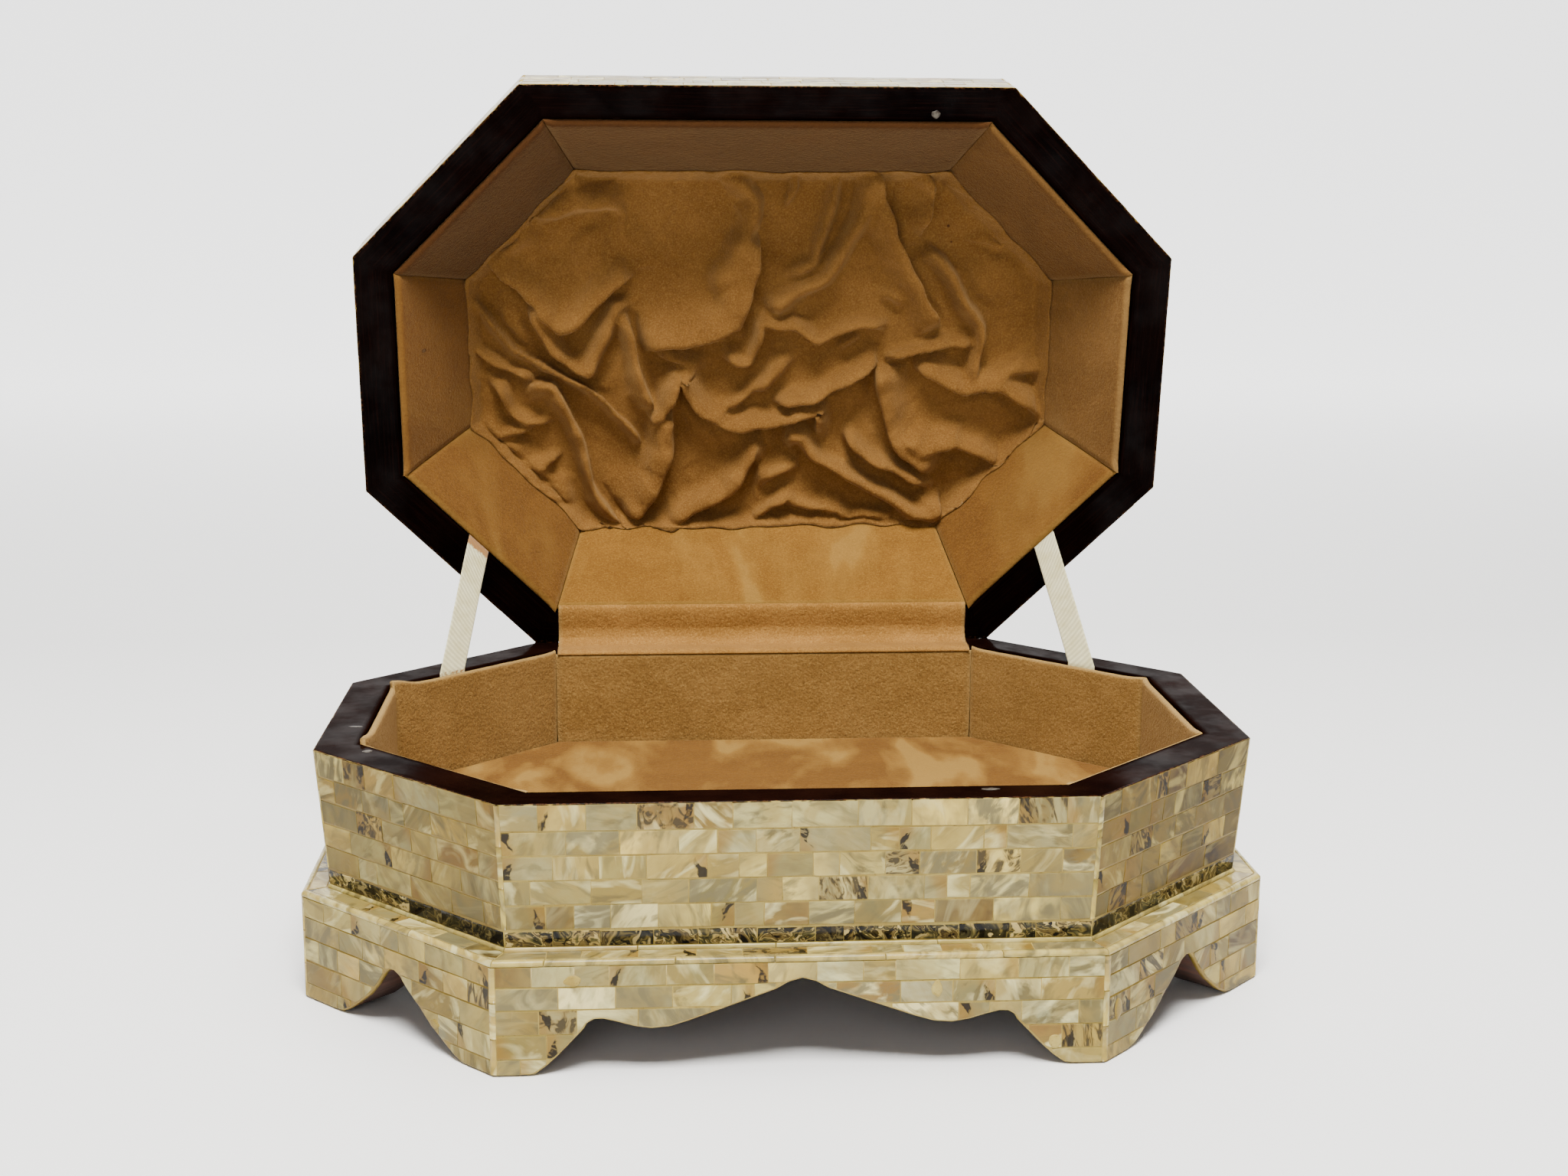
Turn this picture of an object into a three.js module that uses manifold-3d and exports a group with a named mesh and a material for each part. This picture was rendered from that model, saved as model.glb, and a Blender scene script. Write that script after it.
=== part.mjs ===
// Shell box: an elongated octagonal casket with a hinged lid that stands open on two ribbon stays.
// Millimetres, +Z up, front towards -Y. The shapes are drawn about the middle of the plinth on the ground.

import * as THREE from "three";
import { mergeVertices } from "three/addons/utils/BufferGeometryUtils.js";
import Module from "manifold-3d";

const wasm = await Module();
wasm.setup();

// Box walls, measured over the shell at the rim.
const caseWidth = 387;
const caseDepth = 273;
// Length that each chamfered corner takes off the front, back and sides.
const caseChamfer = 79.4;
// Height of the rim over the ground.
const rimHeight = 105;
// Each wall leans out by this much from its foot to the rim.
const caseTaper = 4.5;
// Wall at the rim, from the outside of the shell to the bare inner face.
const wallThickness = 15.2;
// At the ends and at the chamfered corners the walls are thicker by this much, on their inner side.
const endThickening = 2.8;
const shellThickness = 2.4;
const bottomBoard = 9.5;
const bandHeight = 7.7;

// Plinth.
const plinthHeight = 46;
const ledgeWidth = 11;
const ledgeShell = 2.2;
const plinthBoard = 20;
// The bare wood of the feet stands this much below the shell.
const footStand = 0.5;
// Step in the top of the plinth that takes the ledge's shell.
const plinthStepCover = 1.6;
// Board that the walls stand on inside that step.
const plinthSeat = 4;
// Wood left over the highest scallop.
const scallopCover = 6;

// Suede lining of the box.
const liningCard = 2.4;
const liningStandOff = 0.8;
const liningBelowRim = 0.8;
const floorPadThickness = 3.4;

// Lid, measured from its rim towards its top.
const openAngle = 81;
const lidGap = 0.3;
const lidSkirt = 38;
const lidTopInset = 30;
const lidShoulderBoard = 12;
const lidTopBoard = 7.5;
const lidCavity = 54.6;

// Sloping lining of the lid and the gathered panel in its bottom.
const coffer = 49;
const cofferDepth = 49.5;
const panelThickness = 8.5;
const panelInset = 50;

// Hinges and the suede strip over them.
const hingeLength = 44;
const hingeSpread = 65;
const knuckleRadius = 2.2;
const knuckleClearance = 0.4;
const leafThickness = 0.9;
const leafWidth = 12.5;
const stripHalfLength = 102;
const stripThickness = 0.7;
const stripRebate = 1;

// Ribbon stays.
const ribbonWidth = 12;
const ribbonThickness = 0.5;
const ribbonTuck = 8;
const ribbonFromBack = 61.3;
const ribbonOnLid = 52;

// Free space between pieces that touch.
const gap = 0.3;
// How far cutters stand out past what they cut.
const cutterReach = 2;

const plinthOuter = caseTaper - ledgeWidth;
const caseFoot = plinthHeight + gap;
const closedLid = rimHeight + lidGap;
const lidTop = lidCavity + lidTopBoard + gap + shellThickness;
const axisY = caseDepth / 2;
const axisZ = rimHeight + lidGap / 2;

const shellMaterial = new THREE.MeshStandardMaterial({ color: 0xcdbf93, roughness: 0.25 });
const bandMaterial = new THREE.MeshStandardMaterial({ color: 0x4a4a32, roughness: 0.2 });
const woodMaterial = new THREE.MeshStandardMaterial({ color: 0x1c0f0b, roughness: 0.35 });
const suedeMaterial = new THREE.MeshStandardMaterial({ color: 0xa6783c, roughness: 0.95 });
const ribbonMaterial = new THREE.MeshStandardMaterial({ color: 0xdcd8c6, roughness: 0.6 });
const brassMaterial = new THREE.MeshStandardMaterial({ color: 0xa88a4a, roughness: 0.4, metalness: 1 });

// Corners of the octagon that lies inset inside the rim's outer edge, and further by ends at its ends and
// chamfered corners. They run counter-clockwise from above, starting at the left end of the front edge.
// Edge k runs from corner k to corner k + 1.
function octagon(inset, ends = 0) {
  const a = caseWidth / 2 - inset - ends;
  const b = caseDepth / 2 - inset;
  const c = caseChamfer - inset * (2 - Math.SQRT2) + ends * (Math.SQRT2 - 1);
  return [
    [c - a, -b],
    [a - c, -b],
    [a, c - b],
    [a, b - c],
    [a - c, b],
    [c - a, b],
    [-a, b - c],
    [-a, c - b],
  ];
}

// A closed mesh from points and polygons, turned so that its faces point outwards.
function closedMesh(points, polygons) {
  const triangles = [];
  for (const polygon of polygons) {
    for (let i = 1; i < polygon.length - 1; i += 1) {
      triangles.push([polygon[0], polygon[i], polygon[i + 1]]);
    }
  }
  let volume = 0;
  for (const [i, j, k] of triangles) {
    const [a, b, c] = [points[i], points[j], points[k]];
    volume += a[0] * (b[1] * c[2] - b[2] * c[1]);
    volume += a[1] * (b[2] * c[0] - b[0] * c[2]);
    volume += a[2] * (b[0] * c[1] - b[1] * c[0]);
  }
  if (volume < 0) {
    for (const triangle of triangles) triangle.reverse();
  }
  const geometry = new THREE.BufferGeometry();
  geometry.setAttribute("position", new THREE.Float32BufferAttribute(points.flat(), 3));
  geometry.setIndex(triangles.flat());
  return geometry;
}

// Sweeps a section of [inset, z, ends] points round the octagon. A closed section makes a ring, and an
// open one is capped at both ends.
function octagonSweep(section, closed) {
  const points = [];
  for (const [inset, z, ends = 0] of section) {
    for (const [x, y] of octagon(inset, ends)) points.push([x, y, z]);
  }
  const polygons = [];
  const steps = closed ? section.length : section.length - 1;
  for (let i = 0; i < steps; i += 1) {
    const j = (i + 1) % section.length;
    for (let k = 0; k < 8; k += 1) {
      const n = (k + 1) % 8;
      polygons.push([i * 8 + k, j * 8 + k, j * 8 + n, i * 8 + n]);
    }
  }
  if (!closed) {
    const last = (section.length - 1) * 8;
    const ring = [0, 1, 2, 3, 4, 5, 6, 7];
    polygons.push(ring);
    polygons.push(ring.map((k) => last + 7 - k));
  }
  return closedMesh(points, polygons);
}

// Joins and cuts.
function toManifold(geometry) {
  const bare = geometry.clone();
  bare.deleteAttribute("normal");
  bare.deleteAttribute("uv");
  const merged = mergeVertices(bare, 1e-4);
  return new wasm.Manifold(
    new wasm.Mesh({
      numProp: 3,
      vertProperties: new Float32Array(merged.attributes.position.array),
      triVerts: new Uint32Array(merged.index.array),
    }),
  );
}

function toGeometry(manifold) {
  const mesh = manifold.getMesh();
  const geometry = new THREE.BufferGeometry();
  geometry.setAttribute("position", new THREE.BufferAttribute(mesh.vertProperties, 3));
  geometry.setIndex(new THREE.BufferAttribute(mesh.triVerts, 1));
  return geometry;
}

function cut(geometry, cutters) {
  let body = toManifold(geometry);
  for (const cutter of cutters) body = body.subtract(toManifold(cutter));
  return toGeometry(body);
}

function join(geometries) {
  let body = toManifold(geometries[0]);
  for (const other of geometries.slice(1)) body = body.add(toManifold(other));
  return toGeometry(body);
}

function block(x0, x1, y0, y1, z0, z1) {
  const box = new THREE.BoxGeometry(x1 - x0, y1 - y0, z1 - z0);
  box.translate((x0 + x1) / 2, (y0 + y1) / 2, (z0 + z1) / 2);
  return box;
}

function rodAlongX(radius, x0, x1, y, z) {
  const rod = new THREE.CylinderGeometry(radius, radius, x1 - x0, 16);
  rod.rotateZ(Math.PI / 2);
  rod.translate((x0 + x1) / 2, y, z);
  return rod;
}

function meshOf(name, geometry, material) {
  const mesh = new THREE.Mesh(geometry, material);
  mesh.name = name;
  return mesh;
}

// The eight sides, in the order of the octagon's edges.
const sides = [
  "front",
  "front_right",
  "right",
  "back_right",
  "back",
  "back_left",
  "left",
  "front_left",
];

const root = new THREE.Group();
const box = new THREE.Group();
root.add(box);

// The lid is drawn closed, and this pair of groups turns it open about the hinge's axis.
const lidTurn = new THREE.Group();
lidTurn.position.set(0, axisY, axisZ);
lidTurn.rotation.x = THREE.MathUtils.degToRad(-openAngle);
const lid = new THREE.Group();
lid.position.set(0, -axisY, -axisZ);
lidTurn.add(lid);
root.add(lidTurn);

// Scalloped lower edge, as share of the half length from the middle of the face, and height.
const longScallop = [
  [0, 37.1],
  [0.045, 35.6],
  [0.085, 32.9],
  [0.21, 27.6],
  [0.37, 20.9],
  [0.43, 18.8],
  [0.49, 18.2],
  [0.545, 19.2],
  [0.6, 21.1],
  [0.645, 22.4],
  [0.675, 22.3],
  [0.7, 20.6],
  [0.712, 18.1],
  [0.745, 14],
  [0.79, 8.4],
  [0.83, 4],
  [0.866, 0.9],
  [0.892, 0],
];
// Scalloped edge of a chamfered corner, from its front end to its back end.
const cornerScallop = [
  [0.145, 0],
  [0.19, 1.6],
  [0.232, 4.4],
  [0.31, 10.2],
  [0.37, 16],
  [0.425, 20.8],
  [0.468, 25.4],
  [0.5, 27],
  [0.527, 26.6],
  [0.553, 23.8],
  [0.592, 18],
  [0.643, 12],
  [0.695, 7.5],
  [0.746, 3.2],
  [0.79, 0.6],
  [0.815, 0],
];
const scallopHeight = 37.1;

// Cutter under the scalloped edge of one face of the plinth.
function scallopCutter(face, depth) {
  const corners = octagon(plinthOuter);
  const [x0, y0] = corners[face];
  const [x1, y1] = corners[(face + 1) % 8];
  const length = Math.hypot(x1 - x0, y1 - y0);
  const along = new THREE.Vector3((x1 - x0) / length, (y1 - y0) / length, 0);
  const rise = Math.min(1, (plinthHeight - ledgeShell - scallopCover) / scallopHeight);
  let edge;
  if (face % 2 === 0) {
    const right = longScallop.map(([s, z]) => [length * (0.5 + s / 2), z * rise]);
    const left = longScallop.map(([s, z]) => [length * (0.5 - s / 2), z * rise]);
    edge = [...left.reverse(), ...right.slice(1)];
  } else {
    edge = cornerScallop.map(([s, z]) => [length * s, z * rise]);
    if (face === 3 || face === 7) edge = edge.map(([s, z]) => [length - s, z]).reverse();
  }
  const shape = new THREE.Shape();
  shape.moveTo(edge[0][0], -cutterReach);
  for (const [s, z] of edge) shape.lineTo(s, z);
  shape.lineTo(edge[edge.length - 1][0], -cutterReach);
  const cutter = new THREE.ExtrudeGeometry(shape, {
    depth: depth + 2 * cutterReach,
    bevelEnabled: false,
  });
  const inwards = new THREE.Vector3(-along.y, along.x, 0);
  const basis = new THREE.Matrix4();
  basis.makeBasis(along, new THREE.Vector3(0, 0, 1), new THREE.Vector3(along.y, -along.x, 0));
  basis.setPosition(
    x0 + inwards.x * (depth + cutterReach),
    y0 + inwards.y * (depth + cutterReach),
    0,
  );
  cutter.applyMatrix4(basis);
  return cutter;
}

// Plinth: a frame of boards under the walls, with a step that takes the ledge's shell.
const plinthWood = plinthOuter + shellThickness + gap;
const plinthStep = caseTaper + shellThickness + plinthStepCover;
const plinthInner = Math.max(plinthWood + plinthBoard, plinthStep + plinthSeat);
const stepHeight = plinthHeight - ledgeShell - gap;
const frameDepth = plinthInner - plinthOuter;
const scallops = sides.map((side, face) => scallopCutter(face, frameDepth));
const plinthFrame = octagonSweep(
  [
    [plinthWood, 0],
    [plinthWood, stepHeight],
    [plinthStep, stepHeight],
    [plinthStep, plinthHeight],
    [plinthInner, plinthHeight],
    [plinthInner, 0],
  ],
  true,
);
box.add(meshOf("plinth_frame", cut(plinthFrame, scallops), woodMaterial));

const apron = octagonSweep(
  [
    [plinthOuter, footStand],
    [plinthOuter, stepHeight],
    [plinthOuter + shellThickness, stepHeight],
    [plinthOuter + shellThickness, footStand],
  ],
  true,
);
box.add(meshOf("plinth_apron_shell", cut(apron, scallops), shellMaterial));

const ledge = octagonSweep(
  [
    [plinthOuter, plinthHeight - ledgeShell],
    [plinthOuter, plinthHeight],
    [plinthStep - gap, plinthHeight],
    [plinthStep - gap, plinthHeight - ledgeShell],
  ],
  true,
);
box.add(meshOf("plinth_ledge_shell", ledge, shellMaterial));

// Cuts for the hinges and for the strip that covers them, from both rims. up is 1 in the box and -1 in
// the lid, where the rim faces down.
function hingeCuts(rim, up) {
  const cutters = [];
  const rebate = rim - up * stripRebate;
  const pocket = rim - up * (stripRebate + leafThickness + 0.1);
  const far = rim + up * 4;
  const back = axisY + 4;
  const front = axisY - wallThickness - 1;
  cutters.push(
    block(
      -stripHalfLength - gap,
      stripHalfLength + gap,
      front,
      back,
      Math.min(rebate, far),
      Math.max(rebate, far),
    ),
  );
  for (const side of [-1, 1]) {
    const x0 = side * hingeSpread - hingeLength / 2 - gap;
    const x1 = side * hingeSpread + hingeLength / 2 + gap;
    cutters.push(
      block(
        x0,
        x1,
        axisY - leafWidth - gap,
        back,
        Math.min(pocket, far),
        Math.max(pocket, far),
      ),
    );
    cutters.push(rodAlongX(knuckleRadius + knuckleClearance, x0, x1, axisY, axisZ));
  }
  return cutters;
}

// Box carcass, its shell and the band at the foot of the shell.
function taperAt(z) {
  return (caseTaper * (rimHeight - z)) / (rimHeight - caseFoot);
}

const floorBoardTop = caseFoot + bottomBoard;
const carcass = octagonSweep(
  [
    [taperAt(caseFoot) + shellThickness + gap, caseFoot],
    [shellThickness + gap, rimHeight],
    [wallThickness, rimHeight, endThickening],
    [wallThickness, floorBoardTop, endThickening],
  ],
  false,
);
const boxCuts = hingeCuts(rimHeight, 1);
box.add(meshOf("box_carcass", cut(carcass, boxCuts), woodMaterial));

const bandTop = caseFoot + bandHeight;
const wallShell = octagonSweep(
  [
    [taperAt(bandTop + gap), bandTop + gap],
    [0, rimHeight],
    [shellThickness, rimHeight],
    [taperAt(bandTop + gap) + shellThickness, bandTop + gap],
  ],
  true,
);
box.add(meshOf("box_shell", cut(wallShell, boxCuts), shellMaterial));

const band = octagonSweep(
  [
    [taperAt(caseFoot), caseFoot],
    [taperAt(bandTop), bandTop],
    [taperAt(bandTop) + shellThickness, bandTop],
    [taperAt(caseFoot) + shellThickness, caseFoot],
  ],
  true,
);
box.add(meshOf("box_band", band, bandMaterial));

// A lining card on one side of the octagon: a slab between two insets at its foot and two at its head,
// with mitred ends.
function card(face, foot, head) {
  const points = [];
  for (const [outer, inner, z] of [foot, head]) {
    for (const inset of [outer, inner]) {
      const corners = octagon(inset, endThickening);
      const [x0, y0] = corners[face];
      const [x1, y1] = corners[(face + 1) % 8];
      const length = Math.hypot(x1 - x0, y1 - y0);
      const dx = ((x1 - x0) / length) * gap * 0.6;
      const dy = ((y1 - y0) / length) * gap * 0.6;
      points.push([x0 + dx, y0 + dy, z], [x1 - dx, y1 - dy, z]);
    }
  }
  return closedMesh(points, [
    [0, 1, 3, 2],
    [4, 6, 7, 5],
    [0, 4, 5, 1],
    [2, 3, 7, 6],
    [0, 2, 6, 4],
    [1, 5, 7, 3],
  ]);
}

const cardOuter = wallThickness + liningStandOff;
const cardInner = cardOuter + liningCard;
const liningTop = rimHeight - liningBelowRim;
sides.forEach((side, face) => {
  const top = face === 4 ? rimHeight - stripRebate - stripThickness - 0.6 : liningTop;
  const geometry = card(
    face,
    [cardOuter, cardInner, floorBoardTop + gap],
    [cardOuter, cardInner, top],
  );
  box.add(meshOf(`box_lining_${side}`, geometry, suedeMaterial));
});

const floorPad = octagonSweep(
  [
    [cardInner + gap, floorBoardTop + gap, endThickening],
    [cardInner + gap, floorBoardTop + gap + floorPadThickness, endThickening],
  ],
  false,
);
box.add(meshOf("box_floor_pad", floorPad, suedeMaterial));

// Lid section: the outer line and its offsets, as inset and height over the closed rim.
const rise = lidTop - lidSkirt;
const slant = Math.hypot(lidTopInset, rise);
const slantX = lidTopInset / slant;
const slantZ = rise / slant;

// Where the shoulder, moved in by depth, meets a given inset or a given height.
function shoulderAtInset(depth, inset) {
  const s = (inset - slantZ * depth) / slantX;
  return lidSkirt - slantX * depth + s * slantZ;
}

function shoulderAtHeight(depth, height) {
  const s = (height - lidSkirt + slantX * depth) / slantZ;
  return slantZ * depth + s * slantX;
}

const shellInnerTop = lidTop - shellThickness;
const lidShell = octagonSweep(
  [
    [shoulderAtHeight(shellThickness, shellInnerTop), closedLid + shellInnerTop],
    [shellThickness, closedLid + shoulderAtInset(shellThickness, shellThickness)],
    [shellThickness, closedLid],
    [0, closedLid],
    [0, closedLid + lidSkirt],
    [lidTopInset, closedLid + lidTop],
  ],
  false,
);
const lidCuts = hingeCuts(closedLid, -1);
lid.add(meshOf("lid_shell", cut(lidShell, lidCuts), shellMaterial));

const woodSkin = shellThickness + gap;
const woodTop = lidTop - woodSkin;
const lidWood = octagonSweep(
  [
    [shoulderAtHeight(woodSkin, woodTop), closedLid + woodTop],
    [woodSkin, closedLid + shoulderAtInset(woodSkin, woodSkin)],
    [woodSkin, closedLid],
    [wallThickness, closedLid, endThickening],
    [
      wallThickness,
      closedLid + shoulderAtInset(lidShoulderBoard, wallThickness),
      endThickening,
    ],
    [shoulderAtHeight(lidShoulderBoard, lidCavity), closedLid + lidCavity, endThickening],
  ],
  false,
);
lid.add(meshOf("lid_carcass", cut(lidWood, lidCuts), woodMaterial));

// Sloping lining of the lid.
const slopeRun = coffer - cardInner;
const slopeRise = cofferDepth - liningBelowRim;
const cardRun = (liningCard * Math.hypot(slopeRun, slopeRise)) / slopeRise;
const openingInset = cardOuter + cardRun;
sides.forEach((side, face) => {
  const head = face === 4 ? stripRebate + stripThickness + 0.6 : liningBelowRim;
  const start = openingInset + ((coffer - openingInset) * (head - liningBelowRim)) / slopeRise;
  const geometry = card(
    face,
    [start - cardRun, start, closedLid + head],
    [coffer - cardRun, coffer, closedLid + cofferDepth],
  );
  lid.add(meshOf(`lid_lining_${side}`, geometry, suedeMaterial));
});

const panelBack = lidCavity - gap;
const panel = octagonSweep(
  [
    [panelInset, closedLid + panelBack - panelThickness, endThickening],
    [panelInset, closedLid + panelBack, endThickening],
  ],
  false,
);
lid.add(meshOf("lid_gathered_panel", panel, suedeMaterial));

// Hinges: the box leaf carries the two outer knuckles, the lid leaf the middle one.
function leaf(centre, rim, up, spans) {
  const top = rim - up * stripRebate;
  const under = top - up * leafThickness;
  const x0 = centre - hingeLength / 2;
  const x1 = centre + hingeLength / 2;
  const low = Math.min(top, under);
  const high = Math.max(top, under);
  const clear = axisY - knuckleRadius - knuckleClearance - 0.1;
  const pieces = [block(x0, x1, axisY - leafWidth, clear, low, high)];
  for (const [from, to] of spans) {
    const a = x0 + from * hingeLength;
    const b = x0 + to * hingeLength;
    pieces.push(block(a, b, clear - 1, axisY - 0.3, low, high));
    pieces.push(rodAlongX(knuckleRadius, a, b, axisY, axisZ));
  }
  return join(pieces);
}

const play = gap / hingeLength;
for (const [side, sign] of [
  ["left", -1],
  ["right", 1],
]) {
  const centre = sign * hingeSpread;
  const outer = [
    [0, 1 / 3 - play],
    [2 / 3 + play, 1],
  ];
  const middle = [[1 / 3, 2 / 3]];
  const boxLeaf = leaf(centre, rimHeight, 1, outer);
  const lidLeaf = leaf(centre, closedLid, -1, middle);
  box.add(meshOf(`hinge_box_leaf_${side}`, boxLeaf, brassMaterial));
  lid.add(meshOf(`hinge_lid_leaf_${side}`, lidLeaf, brassMaterial));
}

// Points of the lid as it stands open.
function opened(y, z) {
  const turn = THREE.MathUtils.degToRad(-openAngle);
  const dy = y - axisY;
  const dz = z - axisZ;
  return [
    axisY + dy * Math.cos(turn) - dz * Math.sin(turn),
    axisZ + dy * Math.sin(turn) + dz * Math.cos(turn),
  ];
}

// Suede strip over the hinges, from the lining of the box round the knuckles to the lining of the lid.
const stripReach = wallThickness - 0.2;
const stripLow = rimHeight - stripRebate + 0.1;
const stripHigh = stripLow + stripThickness;
const stripRound = knuckleRadius + 0.5;
const stripBend = stripRound + 3.2;
const lidLow = closedLid + stripRebate - 0.1;
const lidHigh = lidLow - stripThickness;
const half = THREE.MathUtils.degToRad(openAngle / 2);
function roundPoint(radius, share) {
  const angle = Math.PI - half * 2 * share;
  return [axisY + radius * Math.cos(angle), axisZ + radius * Math.sin(angle)];
}
const underside = [
  [axisY - stripReach, stripLow],
  [axisY - stripBend, stripLow],
  roundPoint(stripRound, 0.3),
  roundPoint(stripRound, 0.5),
  roundPoint(stripRound, 0.7),
  opened(axisY - stripBend, lidLow),
  opened(axisY - stripReach, lidLow),
];
const outside = [
  [axisY - stripReach, stripHigh],
  [axisY - stripBend - 0.3, stripHigh],
  roundPoint(stripRound + stripThickness * 1.25, 0.33),
  roundPoint(stripRound + stripThickness * 1.25, 0.5),
  roundPoint(stripRound + stripThickness * 1.25, 0.67),
  opened(axisY - stripBend - 0.3, lidHigh),
  opened(axisY - stripReach, lidHigh),
];
const stripShape = new THREE.Shape();
[...underside, ...outside.reverse()].forEach(([y, z], i) => {
  if (i === 0) stripShape.moveTo(y, z);
  else stripShape.lineTo(y, z);
});
const strip = new THREE.ExtrudeGeometry(stripShape, {
  depth: 2 * stripHalfLength,
  bevelEnabled: false,
});
const stripBasis = new THREE.Matrix4();
stripBasis.makeBasis(
  new THREE.Vector3(0, 1, 0),
  new THREE.Vector3(0, 0, 1),
  new THREE.Vector3(1, 0, 0),
);
stripBasis.setPosition(-stripHalfLength, 0, 0);
strip.applyMatrix4(stripBasis);
box.add(meshOf("hinge_strip", strip, suedeMaterial));

// Ribbon stays: tucked behind the lining of the box, taut across the opening, tucked into the lid.
const tuckInset = wallThickness + liningStandOff / 2;
const chamferLine = (inset) => {
  const [x, y] = octagon(inset, endThickening)[3];
  return x + y;
};
function ribbon(sign) {
  const reach = ribbonWidth / 2;
  const bottomY = axisY - ribbonFromBack;
  const topY = axisY - ribbonOnLid;
  const sum = chamferLine(tuckInset);
  const bottom = new THREE.Vector3(sign * (sum - bottomY), bottomY, rimHeight + 0.4);
  const [openY, openZ] = opened(topY, closedLid - 0.4);
  const top = new THREE.Vector3(sign * (sum - topY), openY, openZ);
  const run = top.clone().sub(bottom).normalize();
  const alongBox = new THREE.Vector3(-sign, 1, 0).normalize();
  const turn = THREE.MathUtils.degToRad(-openAngle);
  const alongLid = new THREE.Vector3(
    -sign,
    Math.cos(turn),
    Math.sin(turn),
  ).normalize();
  const outBox = new THREE.Vector3(sign, 1, 0).normalize();
  const outLid = new THREE.Vector3(
    sign,
    Math.cos(turn),
    Math.sin(turn),
  ).normalize();
  const intoLid = new THREE.Vector3(0, -Math.sin(turn), Math.cos(turn));
  const face = new THREE.Vector3().crossVectors(alongBox, run).normalize();
  if (face.dot(outBox) < 0) face.negate();
  const stretch = (direction) => {
    const lean = direction.dot(run);
    return reach / Math.sqrt(1 - lean * lean);
  };
  const tuckedBox = bottom.clone().add(new THREE.Vector3(0, 0, -ribbonTuck));
  const tuckedLid = top.clone().addScaledVector(intoLid, ribbonTuck);
  const stations = [
    [tuckedBox, alongBox, stretch(alongBox), outBox],
    [bottom, alongBox, stretch(alongBox), outBox.clone().add(face).normalize()],
    [top, alongLid, stretch(alongLid), outLid.clone().add(face).normalize()],
    [tuckedLid, alongLid, stretch(alongLid), outLid],
  ];
  const points = [];
  for (const [centre, along, width, normal] of stations) {
    for (const [u, v] of [
      [-1, -1],
      [1, -1],
      [1, 1],
      [-1, 1],
    ]) {
      const p = centre.clone();
      p.addScaledVector(along, u * width);
      p.addScaledVector(normal, (v * ribbonThickness) / 2);
      points.push([p.x, p.y, p.z]);
    }
  }
  const polygons = [
    [3, 2, 1, 0],
    [12, 13, 14, 15],
  ];
  for (let i = 0; i < 3; i += 1) {
    for (let k = 0; k < 4; k += 1) {
      const n = (k + 1) % 4;
      polygons.push([i * 4 + k, i * 4 + n, i * 4 + 4 + n, i * 4 + 4 + k]);
    }
  }
  return closedMesh(points, polygons);
}
box.add(meshOf("ribbon_stay_left", ribbon(-1), ribbonMaterial));
box.add(meshOf("ribbon_stay_right", ribbon(1), ribbonMaterial));

// The origin goes midway between the front of the plinth and the back of the open lid.
const span = new THREE.Box3().setFromObject(root, true);
root.position.y = -(span.min.y + span.max.y) / 2;

export default root;
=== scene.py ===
import math
import random

import bmesh
import bpy
import numpy as np
from mathutils import Matrix, Vector, noise


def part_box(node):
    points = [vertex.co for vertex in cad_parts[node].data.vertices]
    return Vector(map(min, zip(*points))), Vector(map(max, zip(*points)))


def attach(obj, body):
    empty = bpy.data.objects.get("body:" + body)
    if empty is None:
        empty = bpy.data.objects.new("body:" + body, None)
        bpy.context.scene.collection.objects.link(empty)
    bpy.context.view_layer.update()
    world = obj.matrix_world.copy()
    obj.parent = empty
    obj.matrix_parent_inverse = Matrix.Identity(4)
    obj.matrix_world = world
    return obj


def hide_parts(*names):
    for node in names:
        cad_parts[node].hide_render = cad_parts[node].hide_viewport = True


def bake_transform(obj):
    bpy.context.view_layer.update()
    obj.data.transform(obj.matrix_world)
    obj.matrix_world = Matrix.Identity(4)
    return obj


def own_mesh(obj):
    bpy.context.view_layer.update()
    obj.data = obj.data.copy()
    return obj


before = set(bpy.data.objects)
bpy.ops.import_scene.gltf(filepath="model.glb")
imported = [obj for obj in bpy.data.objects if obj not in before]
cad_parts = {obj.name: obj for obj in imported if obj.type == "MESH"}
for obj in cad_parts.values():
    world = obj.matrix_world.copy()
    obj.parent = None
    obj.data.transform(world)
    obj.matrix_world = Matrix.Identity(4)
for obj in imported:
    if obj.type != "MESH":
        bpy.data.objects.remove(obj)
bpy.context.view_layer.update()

MM = 0.001
ROOT2 = math.sqrt(2)

# Sizes in millimetres, as in the CAD. An inset is counted inwards from the outline of the rims, and y from the middle
# of the box, which is at OY in the frame.
W, D, C = 193.5, 136.5, 79.4
RIM = 105.0
PLINTH = 46.0
LEDGE = 11.0
TAPER = 4.5
PLINTH_OUT = TAPER - LEDGE
WALL = 15.2
# The walls are thicker by this much at the ends and the chamfered corners.
ENDS = 2.8
FOOT_Z = PLINTH + 0.3
BAND = 7.7
SHELL = 2.4
OPEN = math.radians(81)
HZ = RIM + 0.15
LID = RIM + 0.3
SKIRT = 38.0
LID_TOP = 64.8
TOP_INSET = 30.0
# The linings: thickness of the cards, their insets in the box, top of its bottom, inset and height of the lid's bottom.
CARD = 2.4
CARD_OUT = WALL + 0.8
CARD_IN = CARD_OUT + CARD
FLOOR = FOOT_Z + 9.5
COFFER, COFFER_T = 49.0, 49.5
# How far inside the rims the heads of the cards lie. At the back they leave room for the strip over the hinge.
HEAD_GAP, BACK_GAP = 0.8, 2.3
# The border of the gathered panel: its inset, and how far the hide stays off the faces of the cards there.
PANEL_EDGE = 45.6
HIDE_GAP = 1.15
# Heights of the hide over the lid's rim: where it lies flat, and the range that it keeps to, also once it has settled.
HIDE_T = 52.6
HIDE_RANGE = (35.5, 53.2)
SETTLED_RANGE = (34.5, 53.3)
# Half the length of the strip over the hinge. The varnish of the back stops just short of it.
STRIP = 102.0
STRIP_GAP = 0.3
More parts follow.
